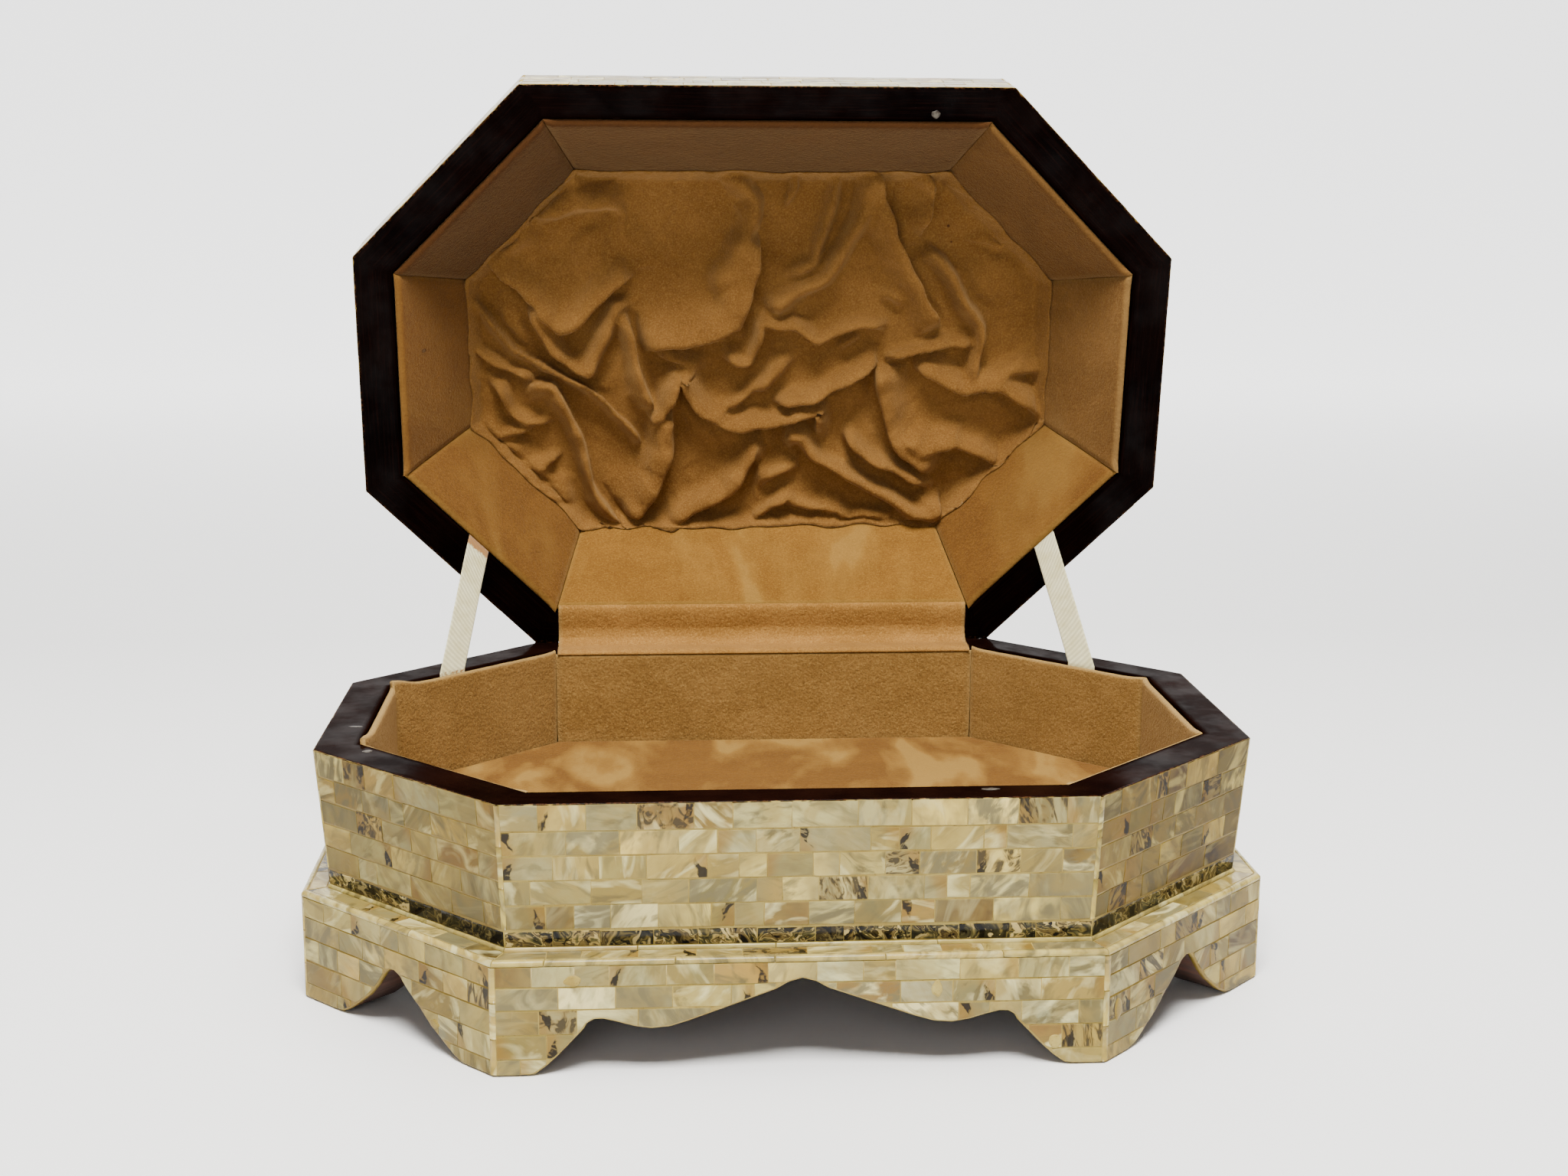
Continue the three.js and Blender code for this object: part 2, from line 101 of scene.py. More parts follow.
# How far the resin between the tiles lies below their faces.
JOINT_DEPTH = 0.25

low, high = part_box("box_carcass")
OY = (low[1] + high[1]) / 2 / MM
SIDES = ["front", "front_right", "right", "back_right", "back", "back_left", "left", "front_left"]
BACK = 4


def on_box(p):
    return (p[0] * MM, (p[1] + OY) * MM, p[2] * MM)


def on_lid(p):
    """A point of the closed lid, where it is with the lid open."""
    y, z = p[1] - D, p[2] - HZ
    c, s = math.cos(OPEN), math.sin(OPEN)
    return (p[0] * MM, (D + y * c + z * s + OY) * MM, (HZ - y * s + z * c) * MM)


def lid_mm(p):
    """The same in the millimetres of the box."""
    x, y, z = on_lid(p)
    return Vector((x / MM, y / MM - OY, z / MM))


def octa(inset, ends=0.0):
    a, b, c = W - inset - ends, D - inset, C - inset * (2 - ROOT2) + ends * (ROOT2 - 1)
    return [(c - a, -b), (a - c, -b), (a, c - b), (a, b - c), (a - c, b), (c - a, b), (-a, b - c), (-a, c - b)]


def side_line(k, inset, z=0.0, ends=0.0):
    """The start and the end of face k at an inset and a height."""
    p = octa(inset, ends)
    return Vector((*p[k], z)), Vector((*p[(k + 1) % 8], z))


# ---- meshes ----


class Shape:
    """Collects points and faces in millimetres, with a material index, a flat mark and values for each."""

    def __init__(self):
        self.v, self.f, self.m, self.flat = [], [], [], []
        self.values = {}

    def point(self, p, **values):
        self.v.append(tuple(p))
        for k, x in values.items():
            self.values.setdefault(k, {})[len(self.v) - 1] = x
        return len(self.v) - 1

    def face(self, ids, m=0, flat=False):
        self.f.append(tuple(ids))
        self.m.append(m)
        self.flat.append(flat)

    def grid(self, rows, m=0, closed_u=False, closed_v=False, flat=False):
        """Faces between rows of point numbers."""
        nr = len(rows)
        for i in range(nr if closed_v else nr - 1):
            a, b = rows[i], rows[(i + 1) % nr]
            n = len(a)
            for j in range(n if closed_u else n - 1):
                k = (j + 1) % n
                self.face((a[j], a[k], b[k], b[j]), m, flat)

    def caps(self, rows, m=0, flat=False):
        """Faces that close the first and the last row."""
        self.face(rows[0], m, flat)
        self.face(rows[-1][::-1], m, flat)

    def make(self, name, place, body, mats, recalc=False, replaces=(), weld=0.0):
        me = bpy.data.meshes.new(name)
        me.from_pydata([place(p) for p in self.v], [], self.f)
        for k, got in self.values.items():
            data = np.zeros((len(self.v), np.size(next(iter(got.values())))), np.float32)
            data[list(got)] = np.reshape(list(got.values()), (len(got), -1))
            kind, field = ("FLOAT", "value") if data.shape[1] == 1 else ("FLOAT_VECTOR", "vector")
            me.attributes.new(k, kind, "POINT").data.foreach_set(field, data.ravel())
        me.polygons.foreach_set("material_index", np.array(self.m, np.int32))
        me.polygons.foreach_set("use_smooth", ~np.array(self.flat, bool))
        for m in mats:
            me.materials.append(m)
        if recalc or weld:
            bm = bmesh.new()
            bm.from_mesh(me)
            if weld:
                bmesh.ops.remove_doubles(bm, verts=bm.verts, dist=weld * MM)
            bmesh.ops.recalc_face_normals(bm, faces=bm.faces)
            bm.to_mesh(me)
            bm.free()
        me.validate()
        me.update()
        ob = bpy.data.objects.new(name, me)
        bpy.context.scene.collection.objects.link(ob)
        if body:
            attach(ob, body)
        if replaces:
            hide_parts(*replaces)
        return ob


# ---- materials ----


def rgba(c):
    """Colours are written as they look on a screen, from 0 to 255."""
    return (*(x / 255 / 12.92 if x / 255 <= 0.04045 else ((x / 255 + 0.055) / 1.055) ** 2.4 for x in c), 1)


class Value:
    """An output of a node, which can be reckoned with like a number."""

    def __init__(self, nodes, socket):
        self.nodes, self.socket = nodes, socket

    def __add__(self, x):
        return self.nodes.math("ADD", self, x)

    def __sub__(self, x):
        return self.nodes.math("SUBTRACT", self, x)

    def __mul__(self, x):
        return self.nodes.math("MULTIPLY", self, x)

    def __truediv__(self, x):
        return self.nodes.math("DIVIDE", self, x)

    def __gt__(self, x):
        return self.nodes.math("GREATER_THAN", self, x)

    def __lt__(self, x):
        return self.nodes.math("LESS_THAN", self, x)

    def __abs__(self):
        return self.nodes.math("ABSOLUTE", self)


class Nodes:
    """The nodes of a material."""

    def __init__(self, name):
        self.mat = bpy.data.materials.new(name)
        self.mat.use_nodes = True
        self.tree = self.mat.node_tree
        self.shader = self.tree.nodes["Principled BSDF"]

    def add(self, kind, inputs=None, out=0, **props):
        """Adds a node and gives one of its outputs."""
        node = self.tree.nodes.new("ShaderNode" + kind)
        for k, x in props.items():
            setattr(node, k, x)
        for k, x in (inputs or {}).items():
            self.put(node.inputs[k], x)
        return Value(self, node.outputs[out])

    def put(self, socket, x):
        if isinstance(x, Value):
            self.tree.links.new(x.socket, socket)
        else:
            socket.default_value = rgba(x) if socket.type == "RGBA" and len(x) == 3 else x

    def set(self, **inputs):
        for k, x in inputs.items():
            self.put(self.shader.inputs[k.replace("_", " ")], x)

    def attr(self, name, out="Fac"):
        return self.add("Attribute", out=out, attribute_name=name)

    def xyz(self, at):
        """The three numbers of a vector."""
        return [Value(self, x) for x in self.add("SeparateXYZ", {0: at}).socket.node.outputs]

    def math(self, op, a, b=0.0):
        return self.add("Math", {0: a, 1: b}, operation=op)

    def vec(self, op, a, b=(0, 0, 0), out=0):
        return self.add("VectorMath", {0: a, 1: b}, out, operation=op)

    def scaled(self, at, *by):
        return self.vec("MULTIPLY", at, by)

    def noise(self, at, scale, detail=2.0, rough=0.5, distortion=0.0, out=0):
        inputs = {"Vector": at, "Scale": scale, "Detail": detail, "Roughness": rough, "Distortion": distortion}
        return self.add("TexNoise", inputs, out)

    def ramp(self, fac, stops):
        got = self.add("ValToRGB", {"Fac": fac})
        e = got.socket.node.color_ramp.elements
        e.remove(e[-1])
        e[0].position, e[0].color = stops[0][0], rgba(stops[0][1])
        for at, c in stops[1:]:
            e.new(at).color = rgba(c)
        return got

    def mix(self, fac, a, b, blend="MIX"):
        return self.add("Mix", {0: fac, 6: a, 7: b}, 2, data_type="RGBA", blend_type=blend)

    def layers(self, colour, *coats):
        """Colours laid over one another, each with how much of it shows."""
        for share, over in coats:
            colour = self.mix(share, colour, over)
        return colour

    def tinted(self, colour, tone):
        return self.mix(1.0, colour, tone, "MULTIPLY")

    def span(self, x, a, b, lo=0.0, hi=1.0):
        """x from a to b, turned into lo to hi and held there."""
        return self.add("MapRange", {0: x, 1: a, 2: b, 3: lo, 4: hi}, clamp=True)

    def bump(self, height, distance, strength=1.0, under=None):
        inputs = {"Height": height, "Distance": distance, "Strength": strength}
        return self.add("Bump", inputs if under is None else {**inputs, "Normal": under})

    def millimetres(self):
        return self.scaled(self.add("TexCoord", out="Object"), 1000, 1000, 1000)


def shell_material(name, abalone=False):
    n = Nodes(name)
    at = n.millimetres()
    seed, dark = n.attr("seed", "Vector"), n.attr("dark")
    moved = n.vec("ADD", at, seed)
    turned = n.add("VectorRotate", {"Vector": moved, "Rotation": seed}, rotation_type="EULER_XYZ")
    if abalone:
        warp = n.scaled(n.noise(moved, 0.1, 2, 0.5, out="Color"), 8, 8, 8)
        bent = n.vec("ADD", n.scaled(turned, 1.0, 0.45, 0.7), warp)
        fine = n.noise(bent, 0.27, 3, 0.5, 1.0)
        stops = [(0.34, (14, 14, 16)), (0.42, (70, 68, 50)), (0.45, (150, 134, 80)), (0.475, (44, 44, 40)),
                 (0.51, (108, 104, 72)), (0.535, (214, 190, 122)), (0.56, (70, 62, 50)), (0.60, (140, 122, 78)),
                 (0.66, (26, 24, 26))]
        colour = n.layers(
            n.ramp(n.noise(bent, 0.13, 3, 0.5, 0.6), stops),
            (n.span(fine, 0.59, 0.63, 0, 0.85), (250, 230, 166)),
            (n.span(fine, 0.42, 0.38, 0, 0.9), (8, 8, 10)),
            (n.span(dark, 0, 1, 0, 0.8), (18, 18, 24)),
        )
        tone = (196, 190, 168)
        n.set(Roughness=0.1, Coat_Weight=0.15, Specular_IOR_Level=0.1)
    else:
        local, half, own = n.xyz(n.attr("local", "Vector")), n.xyz(n.attr("half", "Vector")), n.xyz(seed)
        grain = n.scaled(turned, 1.0, 0.22, 0.4)
        cloud = n.noise(moved, 0.075, 2, 0.5, 0.7)
        wisp = n.noise(grain, 0.14, 3, 0.5, 1.3)
        smoke = n.noise(grain, 0.23, 3, 0.55, 0.9)
        lines = n.noise(grain, 0.9, 3, 0.6, 0.7)
        veins = n.noise(grain, 0.3, 3, 0.55, 1.6)
        fine = n.noise(grain, 3.0, 2, 0.6, 0.3)
        # many tiles pass from cream to grey along their length, and some are grey all over
        along = local[0] * n.math("SIGN", own[1]) / half[0]
        grey = (dark > 0.1) * (dark < 0.3)
        # an end that is brown, with a nearly black wing that is broad at the tile's edge and runs out to its middle
        reach = half[0] - local[0] * n.math("SIGN", own[0])
        rise = local[1] * n.math("SIGN", own[1])
        ragged = reach + rise * 0.45 + (n.noise(moved, 0.13, 2, 0.5) - 0.5) * 7.0
        wing = (n.noise(moved, 0.28, 2, 0.5) - 0.5) * 3.6 + (rise + 1.8) * 0.34
        sliver = n.span(abs(ragged - 2.8) - wing, 0.6, 0.1) * (dark > 0.6)
        sliver = sliver * n.span(n.noise(grain, 0.8, 2, 0.5), 0.62, 0.52, 0.35, 1.0)
        # a few tiles are streaked all over
        full = dark > 0.85
        edge = n.math("MINIMUM", half[0] - abs(local[0]), half[1] - abs(local[1]))
        colour = n.layers(
            n.attr("tint", "Vector"),
            (n.span(cloud, 0.40, 0.60, 0.0, 0.6), (156, 134, 78)),
            (n.span(smoke, 0.52, 0.36, 0.0, 0.9) * n.span(own[0], -40, 40, 0.3, 1.0), (102, 92, 66)),
            (n.span(along, -0.5, 1.0, 0, 0.6) * n.span(own[2], 40, -30), (138, 128, 100)),
            (n.span(wisp, 0.50, 0.66, 0.0, 0.85) * n.span(own[2], -25, 40, 0.12, 1.0), (236, 228, 192)),
            (n.span(lines, 0.5, 0.75, 0.0, 0.22), (150, 124, 70)),
            (grey * n.span(smoke, 0.62, 0.42, 0, 0.85), (118, 110, 90)),
            (n.span(ragged, 6.0, 1.0) * (dark > 0.35) * 0.65, (142, 108, 44)),
            (n.span(veins, 0.42, 0.52) * full * 0.6, (126, 100, 52)),
            (sliver * 0.95, (24, 18, 12)),
            (n.span(veins, 0.50, 0.57) * full * 0.85, (52, 46, 38)),
            (n.span(edge, 0.4, 0.0, 0, 0.2), (206, 186, 128)),
        )
        # painted shade: the shell is darker and yellower on every side but the front, and its lacquer has less gloss
        # there
        aged = n.attr("aged")
        tone = n.mix(aged, (224, 221, 187), (167, 152, 92))
        n.set(Roughness=n.span(cloud, 0.3, 0.7, 0.14, 0.28), Coat_Weight=n.span(aged, 0.0, 0.9, 0.15, 0.05))
        n.set(Specular_IOR_Level=n.span(aged, 0.0, 0.9, 0.1, 0.04))
    n.set(Base_Color=n.tinted(colour, tone), Coat_Roughness=0.08)
    n.set(Normal=n.bump(fine, 0.00004, 0.5, n.bump(n.noise(at, 0.16, 2, 0.5), 0.0006, 0.35)))
    return n.mat


def resin_material(name, light):
    n = Nodes(name)
    at = n.millimetres()
    fine = n.noise(at, 0.9, 3, 0.6)
    colour = n.layers(
        (196, 172, 108),
        (n.span(n.noise(at, 0.07, 4, 0.6), 0.35, 0.65), light),
        (n.span(fine, 0.56, 0.76, 0, 0.6), (126, 96, 48)),
    )
    # painted shade: darker and yellower everywhere but on the front
    x, y, _ = n.xyz(at)
    painted_shade = n.math("MAXIMUM", n.span(abs(x), 115.0, 118.0), n.span(y, -20.0, 20.0))
    n.set(Base_Color=n.tinted(colour, n.mix(painted_shade, (190, 184, 142), (158, 146, 96))), Normal=n.bump(fine, 0.00012, 0.6))
    n.set(Roughness=0.36, Coat_Weight=0.12, Coat_Roughness=0.15, Specular_IOR_Level=0.1)
    return n.mat


def varnish_material(name, dark, light, shine):
    n = Nodes(name)
    at = n.millimetres()
    along, edge = n.attr("along", "Vector"), n.attr("edge")
    brush = n.noise(n.scaled(along, 0.035, 1.3, 1.0), 1.0, 5, 0.65, 0.25)
    pores = n.noise(n.scaled(along, 0.18, 2.2, 1.0), 1.0, 2, 0.5)
    broad = n.noise(at, 0.035, 4, 0.6)
    speck = n.noise(at, 0.7, 3, 0.6)
    colour = n.layers(
        dark,
        (n.span(broad, 0.35, 0.7), light),
        (n.span(brush, 0.5, 0.75, 0, 0.6), (24, 9, 6)),
        (n.span(pores, 0.68, 0.78, 0, 0.8), (8, 3, 3)),
        (n.span(edge, 0.1, 0.95) * n.span(speck, 0.5, 0.62), (70, 40, 20)),
    )
    # the gloss is uneven, and the inner edges have none
    gloss = n.span(n.noise(at, 0.05, 3, 0.6), 0.4, 0.66, *shine) * n.span(edge, -1.0, 0.0)
    n.set(Base_Color=colour, Roughness=n.span(broad, 0.3, 0.7, 0.3, 0.45), Specular_IOR_Level=0.0)
    n.set(Coat_Weight=gloss, Coat_Roughness=0.1)
    n.set(Normal=n.bump(speck * 0.6, 0.00018, 0.6, n.bump(brush, 0.0005, 0.7)))
    return n.mat


def suede_material(name, pebble, shiny, tone, spots=()):
    """spots are small dark stains in the lid: x and y on the closed lid, and radius."""
    n = Nodes(name)
    at = n.millimetres()
    brushed = n.noise(n.scaled(at, 0.6, 1, 1), 0.045, 3, 0.5, 0.8)
    mottle = n.noise(at, 0.3, 4, 0.65)
    nap = n.noise(at, 1.25, 4, 0.75)
    colour = n.layers(
        (142, 98, 44),
        (n.span(brushed, 0.4, 0.62), (156, 110, 54)),
        (n.span(mottle, 0.36, 0.64, 0.0, 0.3), (124, 80, 34)),
        (n.span(nap, 0.5, 0.68, 0.0, 0.5), (196, 150, 86)),
        (n.span(nap, 0.48, 0.32, 0.0, 0.5), (96, 60, 22)),
    )
    if shiny:
        # paler patches of brushed nap, painted sheen where the nap lies the other way
        patch = n.noise(n.scaled(at, 1.0, 0.45, 0.45), 0.024, 2, 0.5, 1.0)
        nap_sheen = patch + (n.noise(n.scaled(at, 1.0, 0.3, 0.3), 0.16, 4, 0.6, 0.5) - 0.5) * 0.22
        colour = n.layers(
            colour,
            (n.span(nap_sheen, 0.47, 0.60, 0, shiny), (196, 154, 92)),
            (n.span(nap_sheen, 0.60, 0.66, 0, shiny * 0.7), (216, 182, 124)),
        )
    # painted highlight on the edges of the suede: the rolled heads and the ends of the cards, the rounded edge of the
    # floor and the cut ends of the strip
    colour = n.tinted(n.mix(n.attr("pale") * 0.45, colour, (200, 162, 100)), tone)
    if spots:
        c, s = math.cos(OPEN), math.sin(OPEN)
        along_y = n.vec("DOT_PRODUCT", at, (0, c, -s), "Value") + (HZ * s - (D + OY) * c + D)
        on = n.add("CombineXYZ", {0: n.xyz(at)[0], 1: along_y})
        for x, y, r in spots:
            far = n.vec("DISTANCE", on, (x, y, 0), "Value") + mottle * 0.8
            colour = n.mix(n.span(far, r + 0.7, r + 0.2, 0, 0.85), colour, (48, 26, 10))
    n.set(Base_Color=colour, Roughness=0.92, Specular_IOR_Level=0.2)
    n.set(Sheen_Weight=0.3, Sheen_Roughness=0.42, Sheen_Tint=(240, 200, 134))
    grain = n.add("TexVoronoi", {"Vector": at, "Scale": 0.62}, "Distance")
    n.set(Normal=n.bump(grain * -pebble + nap, 0.0005, 0.9, n.bump(mottle, 0.0008, 0.5)))
    return n.mat


def ribbon_material():
    n = Nodes("ribbon")
    along = n.attr("along", "Vector")
    weave = {"Vector": along, "Scale": 0.25, "Distortion": 0.4, "Detail": 1.0}
    twill = n.add("TexWave", weave, bands_direction="DIAGONAL")
    cross = n.add("TexWave", {"Vector": along, "Scale": 1.1, "Distortion": 0.2}, bands_direction="Y")
    stain = n.attr("stain") + (n.noise(along, 0.7, 3, 0.6) - 0.5) * 0.9
    colour = n.layers(
        (236, 230, 186),
        (n.span(n.noise(along, 0.12, 3, 0.6), 0.4, 0.7), (214, 204, 150)),
        (twill * 0.5, (176, 166, 116)),
        (n.span(stain, 0.45, 0.6, 0, 0.95), (150, 98, 32)),
    )
    n.set(Base_Color=colour, Roughness=0.55, Sheen_Weight=0.3, Sheen_Roughness=0.4)
    n.set(Normal=n.bump(twill + cross * 0.5, 0.0002, 0.8))
    return n.mat


def wood_material():
    n = Nodes("stained_wood")
    at = n.millimetres()
    grain = n.noise(n.scaled(at, 0.03, 0.03, 0.5), 1.0, 5, 0.6, 0.6)
    colour = n.layers(
        (38, 20, 13),
        (n.span(grain, 0.35, 0.7), (78, 44, 28)),
        (n.span(n.noise(at, 0.25, 3, 0.6), 0.5, 0.8, 0, 0.6), (24, 13, 9)),
    )
    n.set(Base_Color=colour, Roughness=0.62, Normal=n.bump(grain, 0.0003, 0.6))
    return n.mat


def filler_material():
    n = Nodes("filler")
    a = n.noise(n.millimetres(), 0.5, 4, 0.6)
    n.set(Base_Color=n.mix(n.span(a, 0.4, 0.6), (34, 26, 22), (84, 78, 68)), Roughness=0.4)
    n.set(Specular_IOR_Level=0.2, Normal=n.bump(a, 0.0003, 0.7))
    return n.mat


def brass_material():
    n = Nodes("brass")
    a = n.noise(n.millimetres(), 0.4, 4, 0.6)
    n.set(Base_Color=n.mix(n.span(a, 0.35, 0.7), (150, 116, 58), (92, 66, 36)), Metallic=1.0)
    n.set(Roughness=n.span(a, 0.3, 0.7, 0.3, 0.55), Normal=n.bump(a, 0.0001, 0.4))
    return n.mat


PANEL_SPOTS = [(93.1, -62.9, 0.7), (94.9, -55.0, 0.5)]
SIDE_SPOTS = [(-163.8, -9.3, 0.9)]

PEARL = shell_material("mother_of_pearl")
ABALONE = shell_material("abalone", True)
RESIN = resin_material("resin", (218, 200, 144))
MEND = resin_material("mend", (232, 216, 160))
VARNISH = varnish_material("varnish", (10, 3, 2), (24, 9, 5), (0.04, 0.11))
LID_VARNISH = varnish_material("lid_varnish", (3, 1, 1), (9, 3, 2), (0.01, 0.05))
WOOD = wood_material()
SUEDE = suede_material("suede", 0.5, 0.0, (226, 238, 240))
NAP_SHEEN_SUEDE = suede_material("nap_sheen_suede", 0.4, 0.8, (184, 174, 130))
# The lid's cards: copies of the suede whose tones are painted shade, darker on the cards turned away from the light.
HALF_SHADED = suede_material("half_shaded_suede", 0.4, 0.25, (172, 162, 122))
LOWER = suede_material("lower_suede", 0.4, 0.2, (212, 208, 166))
SHADED = suede_material("shaded_suede", 0.4, 0.0, (148, 136, 110))
DEEPLY_SHADED = suede_material("deeply_shaded_suede", 0.4, 0.0, (104, 80, 34))
SIDE = suede_material("side_suede", 0.4, 0.15, (182, 180, 172))
OTHER_SIDE = suede_material("other_side_suede", 0.4, 0.15, (162, 146, 106), SIDE_SPOTS)
LIGHT = suede_material("light_suede", 0.5, 0.0, (250, 254, 244))
GATHERED = suede_material("gathered_suede", 0.3, 0.0, (204, 202, 190), PANEL_SPOTS)
RIBBON = ribbon_material()
BRASS = brass_material()
FILLER = filler_material()

# ---- shell tiles ----

PALETTE = [
    (0.28, (206, 188, 128)), (0.16, (192, 170, 106)), (0.11, (178, 154, 92)), (0.15, (222, 212, 170)),
    (0.12, (172, 162, 124)), (0.05, (156, 126, 66)), (0.08, (154, 148, 122)), (0.05, (136, 106, 60)),
    (0.07, (176, 174, 156)), (0.03, (106, 84, 52)),
]
# How much painted shade darkens and yellows the shell on each side, front first, and on the lid; it also takes gloss
# off the lacquer.
SHADE_AND_DULL = [0.0, 0.9, 0.7, 0.7, 0.7, 0.7, 0.7, 0.65]
LID_SHADE_AND_DULL = 0.3
# Share of the tiles, added up, and their mark: streaked all over, a black wing, a brown end, grey.
FIGURES = [(0.06, 0.95), (0.2, 0.7), (0.3, 0.45), (0.46, 0.2), (1.0, 0.0)]
# A tile's edge from its foot up: inset and height.
TILE_EDGE = [(0.0, -0.9), (0.0, -0.12), (0.06, -0.04), (0.2, 0.0)]
# Half the size of a strip of shell along an edge, as its figure takes it.
BEAD_HALF = (9, 9, 0)


def pick_tint(rng):
    x = rng.random() * sum(w for w, _ in PALETTE)
    for w, c in PALETTE:
        x -= w
        if x <= 0:
            break
    k = rng.uniform(0.6, 1.2)
    r, g, b, _ = rgba([min(255, v * k) for v in c])
    return (r, g * rng.uniform(0.97, 1.02), b * rng.uniform(0.9, 1.08))


def pick_seed(rng):
    return tuple(rng.uniform(-40, 40) for _ in range(3))


def strip_values(rng, colour):
    """The values of a strip of shell along an edge."""
    seed = pick_seed(rng)
    return dict(seed=seed, tint=tuple(v * rng.uniform(0.95, 1.03) for v in rgba(colour)[:3]), dark=0.0, half=BEAD_HALF)


def inset_ring(ring, d):
    n = len(ring)
    out = []
    for i in range(n):
        p, a, b = ring[i], ring[i - 1], ring[(i + 1) % n]
        e0 = (p[0] - a[0], p[1] - a[1])
        e1 = (b[0] - p[0], b[1] - p[1])
        l0, l1 = math.hypot(*e0) or 1, math.hypot(*e1) or 1
        n0 = (-e0[1] / l0, e0[0] / l0)
        n1 = (-e1[1] / l1, e1[0] / l1)
        k = d / max(0.35, 1 + n0[0] * n1[0] + n0[1] * n1[1])
        out.append((p[0] + (n0[0] + n1[0]) * k, p[1] + (n0[1] + n1[1]) * k))
    return out


class Face:
    """A flat face between two edges, with u along it, v up it and h out of it."""

    def __init__(self, a0, a1, b0, b1):
        a0, a1, b0, b1 = (Vector(p) for p in (a0, a1, b0, b1))
        self.o = a0
        self.u = (a1 - a0).normalized()
        up = b0 - a0
        self.v = (up - self.u * up.dot(self.u)).normalized()
        self.n = self.u.cross(self.v)
        self.height = up.dot(self.v)
        self.width = (a1 - a0).length
        self.left1 = up.dot(self.u)
        self.right1 = (b1 - a0).dot(self.u)

    def left(self, v):
        return self.left1 * v / self.height

    def right(self, v):
        return self.width + (self.right1 - self.width) * v / self.height

    def at(self, u, v, h=0.0):
        return self.o + self.u * u + self.v * v + self.n * h


def wall(k, i0, z0, i1, z1):
    """Face k of the octagon between two insets and heights."""
    return Face(*side_line(k, i0, z0), *side_line(k, i1, z1))


def add_tile(shape, face, ring, rng, m, aged=0.0):
    n = len(ring)
    area = 0.5 * abs(sum(ring[i - 1][0] * p[1] - p[0] * ring[i - 1][1] for i, p in enumerate(ring)))
    if n < 3 or area < 1.5:
        return
    cu, cv = (sum(p[i] for p in ring) / n for i in (0, 1))
    # each tile is laid a little out of true
    ta, tb = rng.gauss(0, 0.004), rng.gauss(0, 0.006)
    seed = pick_seed(rng)
    tint = pick_tint(rng)
    x = rng.random()
    dark = next(mark for share, mark in FIGURES if x < share)
    lo_u, hi_u = min(p[0] for p in ring), max(p[0] for p in ring)
    lo_v, hi_v = min(p[1] for p in ring), max(p[1] for p in ring)
    half = ((hi_u - lo_u) / 2, (hi_v - lo_v) / 2, 0)
    rings = []
    for d, h in TILE_EDGE:
        ids = []
        for u, v in inset_ring(ring, d) if d else ring:
            height = h + (ta * (u - cu) + tb * (v - cv) if h > -0.5 else 0)
            local = (u - (lo_u + hi_u) / 2, v - (lo_v + hi_v) / 2, 0)
            at = face.at(u, v, min(height, 0.12))
            ids.append(shape.point(at, seed=seed, tint=tint, dark=dark, local=local, half=half, aged=aged))
        rings.append(ids)
    shape.grid(rings, m, closed_u=True)
    shape.caps(rings[::-1], m, True)


def cuts_of(lo, hi, rng, mean, before=()):
    """Joints along a row, none of them right over one of the row before."""
    cuts = [lo]
    while hi - cuts[-1] > mean * 1.5:
        for _ in range(12):
            step = min(max(rng.gauss(mean, mean * 0.3), mean * 0.5), mean * 1.75)
            x = cuts[-1] + step
            if hi - x > mean * 0.45 and all(abs(x - b) > 1.6 for b in before):
                break
        cuts.append(min(x, hi - mean * 0.45))
    cuts.append(hi)
    return cuts


def cut_rings(left, right, y0, y1, count, under):
    """The parts of a tile that are left over a cut edge."""
    us = np.linspace(left, right, count)
    run = []
    for u, v in [*((u, max(y0, under(u))) for u in us), (None, None)]:
        if u is not None and y1 - v > 0.9:
            run.append((u, v))
            continue
        if len(run) >= 3 and run[-1][0] - run[0][0] > 2:
            # points on a straight stretch are left out
            bends = [b for a, b, c in zip(run, run[1:], run[2:]) if abs(a[1] - 2 * b[1] + c[1]) > 0.004]
            yield [run[0], *bends, run[-1], (run[-1][0], y1), (run[0][0], y1)]
        run = []


def tile_rows(shape, face, rows, rng, mean=17.5, joint=0.26, under=None, side=1.0, **kw):
    """Fills a face with rows of tiles. rows are heights up the face, and under(u) the cut edge below them."""
    before = []
    for v0, v1 in zip(rows, rows[1:]):
        wob = rng.uniform(-0.15, 0.15)
        lo = max(face.left(v0), face.left(v1)) + side
        hi = min(face.right(v0), face.right(v1)) - side
        cuts = cuts_of(lo, hi, rng, mean, before)
        before = cuts[1:-1]
        for i, (c0, c1) in enumerate(zip(cuts, cuts[1:])):
            a, b = c0 + joint / 2, c1 - joint / 2
            q = [a, b, b, a]
            first, last = i == 0, i == len(cuts) - 2
            if first:
                q[0], q[3] = face.left(v0) + side, face.left(v1) + side
            if last:
                q[1], q[2] = face.right(v0) - side, face.right(v1) - side
            y0 = v0 + joint / 2 + wob * 0.3 + rng.uniform(0, 0.25)
            y1 = v1 - joint / 2 + rng.uniform(-0.35, 0.05)
            skew = rng.uniform(-0.6, 0.6)
            tip = rng.uniform(-0.25, 0.25)
            rings = [[(q[0], y0 + max(0, tip)), (q[1], y0 + max(0, -tip)), (q[2] + (0 if last else skew * 0.35), y1),
                      (q[3] + (0 if first else skew * 0.35), y1 - max(0, skew) * 0.4)]]
            if under:
                rings = cut_rings(q[0], q[1], y0, y1, max(2, int((b - a) / 1.3)), under)
            for ring in rings:
                add_tile(shape, face, ring, rng, 1, **kw)


def skin(shape, section, closed=True):
    """A swept ring of octagons, for the resin under the tiles."""
    rows = [[shape.point((x, y, z)) for x, y in octa(i)] for i, z in section]
    shape.grid(rows, closed_u=True, closed_v=closed, flat=True)


